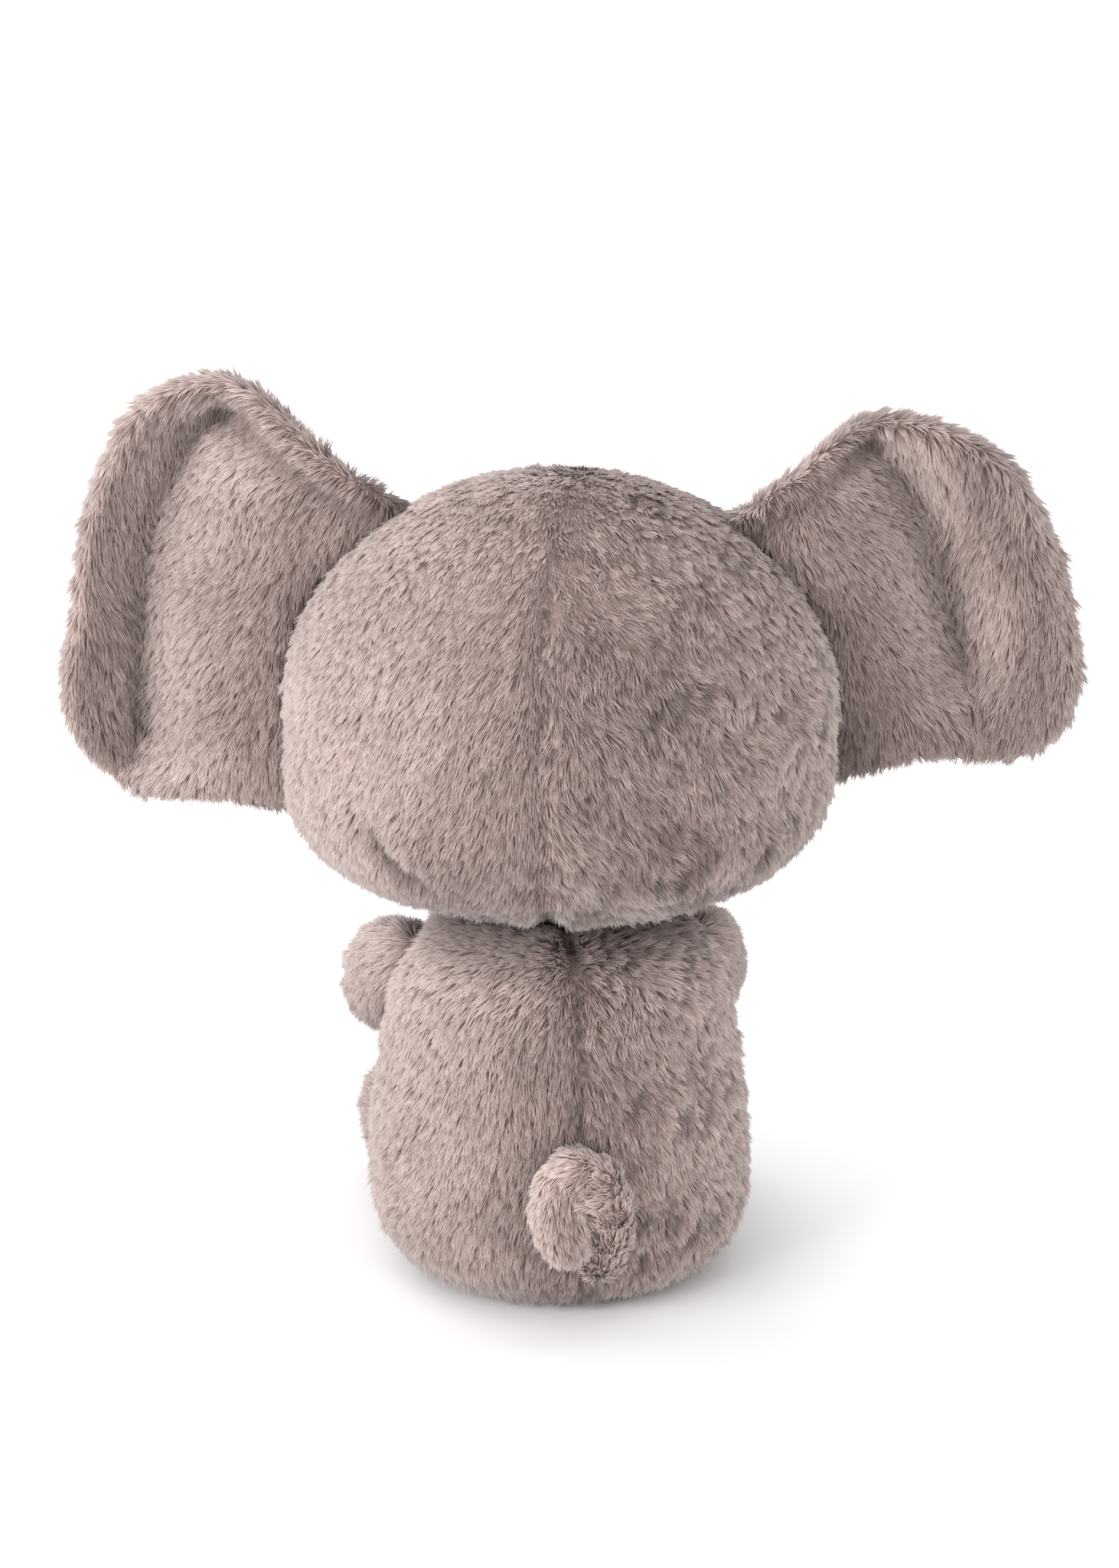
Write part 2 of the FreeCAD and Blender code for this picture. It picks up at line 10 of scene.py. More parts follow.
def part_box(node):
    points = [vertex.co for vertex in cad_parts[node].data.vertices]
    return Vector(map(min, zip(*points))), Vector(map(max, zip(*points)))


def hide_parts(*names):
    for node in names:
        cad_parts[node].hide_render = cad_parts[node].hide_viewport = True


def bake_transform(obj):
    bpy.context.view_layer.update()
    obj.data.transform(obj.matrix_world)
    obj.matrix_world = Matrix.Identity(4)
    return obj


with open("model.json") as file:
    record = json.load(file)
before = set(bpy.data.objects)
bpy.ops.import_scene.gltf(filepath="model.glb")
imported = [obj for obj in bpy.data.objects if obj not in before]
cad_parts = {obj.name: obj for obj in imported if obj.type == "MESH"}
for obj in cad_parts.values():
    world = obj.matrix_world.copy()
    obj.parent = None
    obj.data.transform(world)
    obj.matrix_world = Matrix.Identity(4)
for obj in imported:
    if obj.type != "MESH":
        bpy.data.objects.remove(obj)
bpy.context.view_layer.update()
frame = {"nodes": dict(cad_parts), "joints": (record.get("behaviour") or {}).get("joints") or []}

mm = 0.001
sides = (("left", 1), ("right", -1))


def pickNothing():
    bpy.ops.object.select_all(action="DESELECT")


def pickOnly(piece):
    pickNothing()
    piece.select_set(True)
    bpy.context.view_layer.objects.active = piece


def applyModifier(piece, kind, **settings):
    modifier = piece.modifiers.new(kind.title(), kind)
    for key, amount in settings.items():
        setattr(modifier, key, amount)
    pickOnly(piece)
    bpy.ops.object.modifier_apply(modifier=modifier.name)


def points(piece):
    mesh = piece.data
    flat = np.empty(len(mesh.vertices) * 3, np.float32)
    mesh.vertices.foreach_get("co", flat)
    return flat.reshape(-1, 3).astype(float)


def normals(piece):
    mesh = piece.data
    flat = np.empty(len(mesh.vertices) * 3, np.float32)
    mesh.vertices.foreach_get("normal", flat)
    return flat.reshape(-1, 3).astype(float)


def movePoints(piece, places):
    piece.data.vertices.foreach_set("co", places.astype(np.float32).ravel())
    piece.data.update()


def unit(vectors):
    length = np.linalg.norm(vectors, axis=-1, keepdims=True)
    return vectors / np.maximum(length, 1e-9)


def smoothStep(low, high, amounts):
    share = np.clip((amounts - low) / (high - low), 0, 1)
    return share * share * (3 - 2 * share)


drift = {"waves": 7, "shortest": 0.7, "longest": 1.5, "height": 2.6}


def wander(places, wavelength, seed):
    # slow random drift over the surface, between about -1 and 1
    rng = np.random.default_rng(seed)
    total = np.zeros(len(places))
    for _ in range(drift["waves"]):
        direction = unit(rng.normal(size=3))
        reach = wavelength * mm * rng.uniform(drift["shortest"], drift["longest"])
        total += np.sin(places @ direction * (2 * math.pi / reach) + rng.uniform(0, 2 * math.pi))
    return total / drift["height"]


def joint(name):
    return next(j for j in frame["joints"] if j["name"] == name)


def linear(hexColour):
    channels = [int(hexColour[i:i + 2], 16) / 255 for i in (1, 3, 5)]
    return tuple(c / 12.92 if c <= 0.04045 else ((c + 0.055) / 1.055) ** 2.4 for c in channels) + (1,)


def addNode(tree, kind, settings=None, links=None):
    node = tree.nodes.new(kind)
    for key, amount in (settings or {}).items():
        if key in node.inputs:
            node.inputs[key].default_value = amount
        else:
            setattr(node, key, amount)
    for key, source in (links or {}).items():
        tree.links.new(source, node.inputs[key])
    return node


def newMaterial(name):
    material = bpy.data.materials.new(name)
    material.use_nodes = True
    material.node_tree.nodes.clear()
    return material, material.node_tree


def finishMaterial(tree, shader):
    addNode(tree, "ShaderNodeOutputMaterial", links={"Surface": shader.outputs["BSDF"]})


pileLook = {"middleShare": 0.45, "roughness": 0.72, "gloss": 0.35, "sheenRoughness": 0.45}
backingLook = {"lockSize": 2.5, "darkBelow": 0.3, "paleAbove": 0.7, "bump": 0.6, "roughness": 0.9, "gloss": 0.2}


def pileMaterial(name, rootHex, middleHex, tipHex, sheen):
    # Brushed polyester pile: dark down at the backing, pale and a little shiny at the tips. The dark roots and pale
    # tips are partly the fibres' own colour, partly painted shade deep in the pile and painted highlight on the
    # tips.
    material, tree = newMaterial(name)
    pile = addNode(tree, "ShaderNodeAttribute", {"attribute_name": "pile"})
    parts = addNode(tree, "ShaderNodeSeparateColor", links={"Color": pile.outputs["Color"]})
    ramp = addNode(tree, "ShaderNodeValToRGB", links={"Fac": parts.outputs["Red"]})
    ramp.color_ramp.elements[0].color = linear(rootHex)
    ramp.color_ramp.elements[1].color = linear(tipHex)
    middle = ramp.color_ramp.elements.new(pileLook["middleShare"])
    middle.color = linear(middleHex)
    tint = addNode(tree, "ShaderNodeHueSaturation", {"Hue": 0.5, "Saturation": 1.0, "Fac": 1.0},
                   {"Color": ramp.outputs["Color"], "Value": parts.outputs["Green"]})
    shader = addNode(tree, "ShaderNodeBsdfPrincipled",
                     {"Roughness": pileLook["roughness"], "Specular IOR Level": pileLook["gloss"],
                      "Sheen Weight": sheen, "Sheen Roughness": pileLook["sheenRoughness"]},
                     {"Base Color": tint.outputs["Color"]})
    finishMaterial(tree, shader)
    return material


def backingMaterial(name, darkHex, paleHex):
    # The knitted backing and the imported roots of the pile, seen only down between the locks.
    material, tree = newMaterial(name)
    place = addNode(tree, "ShaderNodeTexCoord")
    locks = addNode(tree, "ShaderNodeTexNoise", {"Scale": 1 / (backingLook["lockSize"] * mm), "Detail": 4.0},
                    {"Vector": place.outputs["Object"]})
    ramp = addNode(tree, "ShaderNodeValToRGB", links={"Fac": locks.outputs["Fac"]})
    ramp.color_ramp.elements[0].color = linear(darkHex)
    ramp.color_ramp.elements[0].position = backingLook["darkBelow"]
    ramp.color_ramp.elements[1].color = linear(paleHex)
    ramp.color_ramp.elements[1].position = backingLook["paleAbove"]
    bump = addNode(tree, "ShaderNodeBump", {"Strength": backingLook["bump"], "Distance": 1 * mm},
                   {"Height": locks.outputs["Fac"]})
    shader = addNode(tree, "ShaderNodeBsdfPrincipled",
                     {"Roughness": backingLook["roughness"], "Specular IOR Level": backingLook["gloss"]},
                     {"Base Color": ramp.outputs["Color"], "Normal": bump.outputs["Normal"]})
    finishMaterial(tree, shader)
    return material


greyPile = pileMaterial("greyPolyesterPile", "#66554f", "#a18c87", "#d9c7c1", 0.18)
palePile = pileMaterial("paleVelboaPile", "#b09c96", "#d8c8c1", "#efe3dd", 0.25)
greyBacking = backingMaterial("greyKnitBacking", "#6c5b56", "#8b7974")


skinSettings = {"mergeGap": 0.02, "smoothFactor": 0.5}


def skinFrom(name, nodeNames, voxel, inset, smoothing=12):
    # each stuffed skin is grown from the solids it stands for
    copies = []
    for nodeName in nodeNames:
        source = frame["nodes"][nodeName]
        copy = bpy.data.objects.new(f"{name}Copy", source.data.copy())
        bpy.context.scene.collection.objects.link(copy)
        copies.append(copy)
    pickOnly(copies[0])
    for copy in copies:
        copy.select_set(True)
    if len(copies) > 1:
        bpy.ops.object.join()
    skin = copies[0]
    skin.name = name
    skin.data.name = name
    skin.data.materials.clear()
    bpy.ops.object.mode_set(mode="EDIT")
    bpy.ops.mesh.select_all(action="SELECT")
    bpy.ops.mesh.remove_doubles(threshold=skinSettings["mergeGap"] * mm)
    bpy.ops.object.mode_set(mode="OBJECT")
    applyModifier(skin, "REMESH", mode="VOXEL", voxel_size=voxel * mm, use_smooth_shade=True)
    applyModifier(skin, "SMOOTH", factor=skinSettings["smoothFactor"], iterations=smoothing)
    movePoints(skin, points(skin) - normals(skin) * inset * mm)
    return skin


stuffing = {"frames": 14, "quality": 4, "mass": 0.2, "stretch": 12, "bend": 0.8}


def stuff(skin, pressure, cap):
    # Stuffing pushes the cloth out from inside, and the cap keeps each point near its place.
    before = points(skin)
    cloth = skin.modifiers.new("Cloth", "CLOTH")
    settings = cloth.settings
    settings.quality = stuffing["quality"]
    settings.mass = stuffing["mass"]
    settings.use_pressure = True
    settings.uniform_pressure_force = pressure
    settings.tension_stiffness = stuffing["stretch"]
    settings.compression_stiffness = stuffing["stretch"]
    settings.bending_stiffness = stuffing["bend"]
    settings.effector_weights.gravity = 0
    scene = bpy.context.scene
    for step in range(1, stuffing["frames"] + 1):
        scene.frame_set(step)
    pickOnly(skin)
    bpy.ops.object.modifier_apply(modifier=cloth.name)
    scene.frame_set(1)
    moved = points(skin) - before
    length = np.linalg.norm(moved, axis=1, keepdims=True)
    movePoints(skin, before + moved * np.minimum(1, cap * mm / np.maximum(length, 1e-9)))


def settleOnFloor(skin, height=0.4):
    places = points(skin)
    places[:, 2] = np.maximum(places[:, 2], height * mm)
    movePoints(skin, places)


# one strand of pile, a unit long, is modelled here and then planted all over a skin
strandShape = {"radius": 0.5, "keelRise": 0.45}


def modelStrand():
    pickNothing()
    bpy.ops.mesh.primitive_cone_add(vertices=3, radius1=strandShape["radius"], radius2=0, depth=1,
                                    location=(0, 0, 0.5), end_fill_type="NGON")
    strand = bpy.context.active_object
    bpy.ops.object.transform_apply(location=True, rotation=True, scale=True)
    bpy.ops.object.mode_set(mode="EDIT")
    bpy.ops.mesh.select_all(action="DESELECT")
    bpy.ops.object.mode_set(mode="OBJECT")
    keel = max((v for v in strand.data.vertices if v.co.z < 0.5), key=lambda v: v.co.y)
    keel.select = True
    bpy.ops.object.mode_set(mode="EDIT")
    # one root corner slides up to be the strand's arched back
    bpy.ops.transform.translate(value=(0, 0, strandShape["keelRise"]))
    bpy.ops.mesh.select_all(action="SELECT")
    bpy.ops.mesh.normals_make_consistent(inside=False)
    bpy.ops.mesh.quads_convert_to_tris()
    bpy.ops.object.mode_set(mode="OBJECT")
    corners = points(strand)
    faces = np.array([list(p.vertices) for p in strand.data.polygons])
    bpy.data.objects.remove(strand)
    return corners, faces


strandCorners, strandFaces = modelStrand()


def scatter(skin, perSquareMm, rng):
    # evenly spread points over the skin's triangles, with their normals
    mesh = skin.data
    mesh.calc_loop_triangles()
    triangles = np.empty(len(mesh.loop_triangles) * 3, np.int32)
    mesh.loop_triangles.foreach_get("vertices", triangles)
    triangles = triangles.reshape(-1, 3)
    places = points(skin)
    facing = normals(skin)
    a, b, c = (places[triangles[:, k]] for k in range(3))
    areas = np.linalg.norm(np.cross(b - a, c - a), axis=1) / 2
    running = np.cumsum(areas)
    count = int(running[-1] / mm ** 2 * perSquareMm)
    marks = (np.arange(count) + rng.random(count)) / count * running[-1]
    chosen = np.minimum(np.searchsorted(running, marks), len(areas) - 1)
    u, v = rng.random(count), rng.random(count)
    over = u + v > 1
    u[over], v[over] = 1 - u[over], 1 - v[over]
    weights = np.stack([1 - u - v, u, v], axis=1)[:, :, None]
    corners = triangles[chosen]
    return (places[corners] * weights).sum(axis=1), unit((facing[corners] * weights).sum(axis=1))


def combed(places, facing, nap, settings):
    # the nap laid on the surface, swayed slowly from place to place
    along = nap(places)
    along = unit(along - facing * (along * facing).sum(axis=1, keepdims=True))
    sway = np.radians(settings["sway"]) * wander(places, settings["swayWave"], settings["seed"] + 5)
    across = np.cross(facing, along)
    return along * np.cos(sway)[:, None] + across * np.sin(sway)[:, None]


def plantPile(skin, settings, nap, keep=None, lengthAt=None, toneAt=None, leanAt=None):
    rng = np.random.default_rng(settings["seed"])
    places, facing = scatter(skin, settings["perSquareMm"], rng)
    if keep is not None:
        kept = keep(places, facing)
        places, facing = places[kept], facing[kept]
    heads, headFacing = scatter(skin, settings["locksPerSquareMm"], rng)
    tree = KDTree(len(heads))
    for number, place in enumerate(heads):
        tree.insert(place, number)
    tree.balance()
    lock = np.array([tree.find(place)[1] for place in places])
    count = len(places)

    along = combed(places, facing, nap, settings)
    headAlong = combed(heads, headFacing, nap, settings)
    lockTurn = rng.normal(0, math.radians(settings["lockTurn"]), len(heads))
    lockLean = rng.normal(0, math.radians(settings["lockLean"]), len(heads))
    lockTone = rng.normal(0, settings["lockTone"], len(heads))
    lockLength = 1 + rng.normal(0, settings["lockLength"], len(heads))

    length = settings["length"] * mm * rng.uniform(*settings["lengthShares"], count) * lockLength[lock]
    reach = settings["length"] * mm * lockLength
    if lengthAt is not None:
        length = length * lengthAt(places)
        reach = reach * lengthAt(heads)
    width = settings["width"] * mm * rng.uniform(*settings["widthShares"], count)
    turn = lockTurn[lock] + rng.normal(0, math.radians(settings["strandTurn"]), count)
    across = np.cross(facing, along)
    along = along * np.cos(turn)[:, None] + across * np.sin(turn)[:, None]
    across = np.cross(facing, along)
    rootLean = math.radians(settings["rootLean"]) + lockLean[lock] + rng.normal(0, settings["rootSpread"], count)
    tipLean = math.radians(settings["tipLean"]) + lockLean[lock] + rng.normal(0, settings["tipSpread"], count)
    if leanAt is not None:
        flatter = np.radians(leanAt(places))
        rootLean, tipLean = rootLean + flatter, tipLean + flatter
    middleLean = math.radians((settings["rootLean"] + settings["tipLean"]) / 2) + lockLean
    lockTip = heads + reach[:, None] * (
        headFacing * np.cos(middleLean)[:, None] + headAlong * np.sin(middleLean)[:, None])

    strands = np.empty((count, len(strandCorners), 3))
    for number, (x, y, z) in enumerate(strandCorners):
        angle = rootLean + (tipLean - rootLean) * z / 2
        line = places + (length * z)[:, None] * (facing * np.cos(angle)[:, None] + along * np.sin(angle)[:, None])
        line = line + (lockTip[lock] - line) * settings["lockPull"] * z ** 1.5  # tips gather into locks
        thick = facing * (y * width * settings["thickness"])[:, None]
        strands[:, number] = line + across * (x * width)[:, None] + thick
    strands -= facing[:, None, :] * settings["rootDepth"] * mm
    strands[:, :, 2] = np.maximum(strands[:, :, 2], settings["floorGap"] * mm)

    tone = 1 + lockTone[lock] + rng.normal(0, settings["strandTone"], count)
    tone = tone + settings["patchTone"] * wander(places, settings["patchWave"], settings["seed"] + 9)
    if toneAt is not None:
        tone = tone * toneAt(places)
    colours = np.ones((count, len(strandCorners), 4))
    # along each strand from root to tip, for the pile ramp: its dark roots are partly painted shade deep in the
    # pile, its pale tips partly painted highlight
    colours[:, :, 0] = np.clip(strandCorners[:, 2], 0, 1)[None, :]
    colours[:, :, 1] = np.clip(tone, *settings["toneLimits"])[:, None]
    # each strand is lit mostly as the lie of the cloth under it, as a soft mass of pile is
    tipTurn = strandCorners[:, 2] * settings["tipTurn"]
    edgeTurn = strandCorners[:, 0] * (1 - settings["softness"]) * 2
    lit = unit(facing[:, None] * settings["softness"] + along[:, None] * tipTurn[None, :, None]
               + across[:, None] * edgeTurn[None, :, None])
    return strands, colours, lit


def strandsToPiece(name, strands, colours, lit, material):
    count, corners = strands.shape[:2]
    faces = (strandFaces[None] + (np.arange(count) * corners)[:, None, None]).reshape(-1, 3)
    mesh = bpy.data.meshes.new(name)
    mesh.vertices.add(count * corners)
    mesh.vertices.foreach_set("co", strands.astype(np.float32).ravel())
    mesh.loops.add(len(faces) * 3)
    mesh.loops.foreach_set("vertex_index", faces.astype(np.int32).ravel())
    mesh.polygons.add(len(faces))
    mesh.polygons.foreach_set("loop_start", np.arange(0, len(faces) * 3, 3, dtype=np.int32))
    mesh.update(calc_edges=True)
    mesh.polygons.foreach_set("use_smooth", np.ones(len(faces), bool))
    mesh.normals_split_custom_set_from_vertices(lit.reshape(-1, 3))
    attribute = mesh.color_attributes.new("pile", "FLOAT_COLOR", "POINT")
    attribute.data.foreach_set("color", colours.astype(np.float32).ravel())
    # each strand has a small square of its own in the map
    grid = math.ceil(math.sqrt(count))
    cell = np.stack([np.arange(count) % grid, np.arange(count) // grid], axis=1)[:, None, :]
    spot = np.stack([0.5 + strandCorners[:, 0] * 0.8, 0.1 + strandCorners[:, 2] * 0.8], axis=1)[None]
    spots = ((cell + spot) / grid).reshape(-1, 2)
    layer = mesh.uv_layers.new(name="OFBake")
    layer.data.foreach_set("uv", spots[faces.ravel()].astype(np.float32).ravel())
    mesh.materials.append(material)
    piece = bpy.data.objects.new(name, mesh)
    bpy.context.scene.collection.objects.link(piece)
    print(name, count, "strands")
    return piece


# lengths in mm, leans and turns in degrees, tones and spreads as shares
pileSizes = {
    "perSquareMm": 3.1, "length": 5.6, "width": 0.4, "thickness": 0.6, "rootDepth": 0.3, "floorGap": 0.25,
    "lengthShares": (0.78, 1.12), "widthShares": (0.75, 1.25),
    "rootLean": 46, "tipLean": 77, "rootSpread": 0.08, "tipSpread": 0.12, "strandTurn": 8,
    "locksPerSquareMm": 0.2, "lockTurn": 11, "lockLean": 6, "lockLength": 0.1, "lockPull": 0.22,
    "sway": 10, "swayWave": 50,
    "lockTone": 0.035, "strandTone": 0.035, "patchTone": 0.045, "patchWave": 20, "toneLimits": (0.45, 1.5),
    "softness": 0.75, "tipTurn": 0.25,
    "seed": 11,
}
# the right half of the back has been brushed about by hand
rubbedPile = {"sway": 18, "swayWave": 20, "lockTurn": 15, "lockLean": 10, "lockTone": 0.11, "strandTone": 0.08}
shortPileSizes = dict(pileSizes, length=2.6, width=0.45, locksPerSquareMm=0.5, rootLean=25, tipLean=50,
                      lockPull=0.15, lockTone=0.03)


def makePile(name, skin, sizes, nap, material, keep=None, lengthAt=None, toneAt=None, leanAt=None):
    return strandsToPiece(name, *plantPile(skin, sizes, nap, keep, lengthAt, toneAt, leanAt), material)


def straightDown(places):
    return np.tile([0.0, 0.0, -1.0], (len(places), 1))


def towardsLine(places, corners):
    # how far each place is from a bent line, in mm
    nearest = np.full(len(places), 1e9)
    for first, second in zip(corners[:-1], corners[1:]):
        first, second = np.array(first) * mm, np.array(second) * mm
        run = second - first
        share = np.clip(((places - first) @ run) / (run @ run), 0, 1)
        gap = np.linalg.norm(places - first - share[:, None] * run, axis=1)
        nearest = np.minimum(nearest, gap)
    return nearest / mm


def bell(amounts, width):
    return np.exp(-(amounts / width) ** 2)


headSizes = {
    "voxel": 3.6, "inset": 2.6, "smoothing": 16, "pressure": 3, "swell": 2.2, "fill": 0.9,
    "seamDepth": 1.2, "lowSeamDepth": 1.5, "seamWidth": 2.4, "seamTop": 232, "creaseDepth": 4.0, "creaseWidth": 2.8,
    "cheekPuff": 3.5, "rightCheekPuff": 0.3, "cheekRise": 138, "cheekHeight": 20,
    "backShare": 0.94, "frontShare": 0.8, "crownLean": 20,
    "foreheadHalfWidth": 23, "foreheadBack": 34, "foreheadLow": -14, "eyeClearance": 7.4,
}
# how much painted shade and painted light each place gets, beside the seam's own dark line and a short dark dash
headPaintedLightAndTone = {
    "seam": 0.1, "lowSeam": 0.25, "crease": 0.5, "dash": 0.45, "dashRise": 222, "upper": 0.12, "left": 0.05,
    "swept": 0.14, "under": 0.42, "partingShade": 0.55, "crown": 0.12,
}
# how the head's pile lies: its fan to each side of the seam, how far it runs back over the crown, its swept patch
headLie = {
    "leftFan": 0.3, "rightFan": 0.4, "fanWidth": 10, "overCrown": 0.5, "crownFall": 0.3, "swept": 0.9,
    "sweptSide": -15, "sweptWidth": 14, "sweptRise": 154, "sweptHeight": 15,
    "crownShorter": 0.12, "seamShorter": 0.3, "creaseShorter": 0.3,
}
# the partings in the rubbed half, darkened as painted shade: their size and slant, the patches that they come in,
# how many there are
streakSizes = {"wave": 5.5, "stretch": 0.35, "slant": 0.35, "patchWave": 34, "threshold": 0.2, "seed": 301}
headSide = np.array(joint("head_nod")["axis"])  # the head's own right to left line
headBack = np.array([-headSide[1], headSide[0], 0])
headLow, headHigh = (np.array(corner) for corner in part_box("head_filling"))
headMiddle = (headLow + headHigh) / 2


def inHead(places):
    # side, back and height in the turned head's own directions, in mm, height from the floor
    rel = places - headMiddle
    return np.stack([rel @ headSide, rel @ headBack, places[:, 2]], axis=1) / mm


def backSeam(own):
    # 1 on the seam down the middle of the back of the head
    belowTop = 1 - smoothStep(headSizes["seamTop"] - 6, headSizes["seamTop"] + 4, own[:, 2])
    return bell(own[:, 0], headSizes["seamWidth"]) * smoothStep(0, 12, own[:, 1]) * belowTop


napeCreases = [[(50, 54, 154), (43, 54.5, 145), (35, 56, 140)], [(-48, 55, 150), (-41, 56, 144)],
               [(7, 60, 140), (1, 61.5, 137), (-7, 60, 139)]]


def napeCrease(own):
    depth = np.zeros(len(own))
    for line in napeCreases:
        depth = np.maximum(depth, bell(towardsLine(own * mm, line), headSizes["creaseWidth"]))
    return depth


def sweptPatch(own):
    # beside the foot of the back seam the pile is swept to the right, and its darker look there is painted shade
    patch = bell(own[:, 0] - headLie["sweptSide"], headLie["sweptWidth"])
    patch = patch * bell(own[:, 2] - headLie["sweptRise"], headLie["sweptHeight"])
    return patch * smoothStep(20, 45, own[:, 1]) * (own[:, 0] < -1)


def headNap(places):
    # over the crown from the face to the back, then down and outwards from the seam
    own = inHead(places)
    fan = np.tanh(own[:, 0] / headLie["fanWidth"]) * smoothStep(-10, 30, own[:, 1])
    fan = fan * np.where(own[:, 0] > 0, headLie["leftFan"], headLie["rightFan"]) - headLie["swept"] * sweptPatch(own)
    over = smoothStep(180, 225, own[:, 2]) * (1 - smoothStep(40, 62, own[:, 1]))
    flow = headSide[None] * fan[:, None] + headBack[None] * (headLie["overCrown"] * over)[:, None]
    flow[:, 2] -= 1 - headLie["crownFall"] * over
    return flow


def partingShade(places, side):
    # painted shade in the partings where the right half's pile has been rubbed the other way
    slanted = places * [1, 1, streakSizes["stretch"]]
    slanted[:, 0] += places[:, 2] * streakSizes["slant"]
    rubbed = np.maximum(wander(slanted, streakSizes["wave"], streakSizes["seed"]) - streakSizes["threshold"], 0)
    patches = smoothStep(-0.8, 0.9, wander(places, streakSizes["patchWave"], streakSizes["seed"] + 1))
    return np.clip(rubbed * patches, 0, 1) * (1 - smoothStep(-14, 4, side))


def makeHead():
    nodes = ["head_back_left", "head_back_right", "head_cheek_left", "head_cheek_right", "head_forehead",
             "head_filling"]
    skin = skinFrom("headSkin", nodes, headSizes["voxel"], headSizes["inset"], headSizes["smoothing"])
    stuff(skin, headSizes["pressure"], headSizes["swell"])
    own = inHead(points(skin))
    deep = 1 + headSizes["lowSeamDepth"] * (1 - smoothStep(118, 140, own[:, 2]))
    pinch = backSeam(own) * headSizes["seamDepth"] * deep + napeCrease(own) * headSizes["creaseDepth"]
    puff = bell(own[:, 2] - headSizes["cheekRise"], headSizes["cheekHeight"]) * smoothStep(18, 50, np.abs(own[:, 0]))
    puff = puff * np.where(own[:, 0] > 0, 1, headSizes["rightCheekPuff"])
    pinch -= puff * headSizes["cheekPuff"]
    movePoints(skin, points(skin) - normals(skin) * pinch[:, None] * mm)
    skin.data.materials.append(greyBacking)

    def lengthAt(places):
        own = inHead(places)
        crown = smoothStep(208, 240, own[:, 2])
        shorter = headLie["seamShorter"] * backSeam(own) + headLie["creaseShorter"] * napeCrease(own)
        return 1 - headLie["crownShorter"] * crown - shorter

    def toneAt(places):
        own = inHead(places)
        rise = own[:, 2]
        dash = bell(own[:, 0], 1.6) * smoothStep(0, 20, own[:, 1]) * bell(rise - headPaintedLightAndTone["dashRise"], 6)
        # painted shade low on the seam by the nape and under the head; painted shade over the upper head and painted
        # light on the crown
        low = 1 - smoothStep(118, 135, rise)
        under = 1 - smoothStep(114, 128, rise)
        upper = smoothStep(178, 225, rise)
        crown = smoothStep(205, 240, rise)
        # the back seam's own dark line with painted shade in its groove, painted shade in the nape creases, a short
        # dark dash near the seam's top
        shade = 1 - (headPaintedLightAndTone["seam"] + headPaintedLightAndTone["lowSeam"] * low) * backSeam(own)
        shade = shade - headPaintedLightAndTone["crease"] * napeCrease(own) - headPaintedLightAndTone["dash"] * dash
        shade = shade * (1 - headPaintedLightAndTone["upper"] * upper)
        # painted light on the lower left, where the key light falls
        shade = shade * (1 + headPaintedLightAndTone["left"] * (1 - upper) * smoothStep(0, 40, own[:, 0]))
        # painted shade on the swept patch and under the head
        shade = shade * (1 - headPaintedLightAndTone["swept"] * sweptPatch(own)) * (1 - headPaintedLightAndTone["under"] * under)
        # painted shade in the rubbed partings
        return shade * (1 - headPaintedLightAndTone["partingShade"] * partingShade(places, own[:, 0])) * (1 + headPaintedLightAndTone["crown"] * crown)

    def onForehead(own):
        return (np.abs(own[:, 0]) < headSizes["foreheadHalfWidth"]) & (own[:, 1] < headSizes["foreheadBack"]) & (
            own[:, 2] > headMiddle[2] / mm + headSizes["foreheadLow"])

    panels = {
        "head_back_left": lambda own: (own[:, 0] > 0) & (own[:, 1] > 0) & ~onForehead(own),
        "head_back_right": lambda own: (own[:, 0] <= 0) & (own[:, 1] > 0) & ~onForehead(own),
        "head_cheek_left": lambda own: (own[:, 0] > 0) & (own[:, 1] <= 0) & ~onForehead(own),
        "head_cheek_right": lambda own: (own[:, 0] <= 0) & (own[:, 1] <= 0) & ~onForehead(own),
        "head_forehead": onForehead,
    }
    for number, (nodeName, panel) in enumerate(panels.items()):
        share = headSizes["backShare"] if "back" in nodeName else headSizes["frontShare"]
        sizes = dict(pileSizes, perSquareMm=pileSizes["perSquareMm"] * share, seed=20 + number)
        if nodeName == "head_back_right":
            sizes.update(rubbedPile)
        fur = makePile(f"{nodeName}_pile", skin, sizes, headNap, greyPile,
                       keep=lambda places, facing: panel(inHead(places)) & clearOfEyes(places),
                       lengthAt=lengthAt, toneAt=toneAt,
                       leanAt=lambda places: headSizes["crownLean"] * smoothStep(185, 228, places[:, 2] / mm))
        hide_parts(nodeName)
        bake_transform(fur)
    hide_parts("head_filling")
    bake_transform(skin)


def clearOfEyes(places):
    clear = np.ones(len(places), bool)
    for hand, _ in sides:
        low, high = (np.array(corner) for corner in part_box(f"eye_{hand}"))
        clear &= np.linalg.norm(places - (low + high) / 2, axis=1) > headSizes["eyeClearance"] * mm
    return clear


makeHead()
print("head done")


torsoSizes = {
    "voxel": 3.6, "inset": 1.6, "smoothing": 12, "pressure": 3, "swell": 2.0, "fill": 0.85,
    "seamDepth": 3.0, "seamWidth": 2.0, "creaseDepth": 2.5, "creaseWidth": 3,
    "shoulderPuff": 4.0, "hipPuff": 1.6, "hipRise": 44, "hipHeight": 22, "backShare": 0.85, "bellyShare": 0.68,
    "seatFacing": -0.9, "seatRise": 5,
}
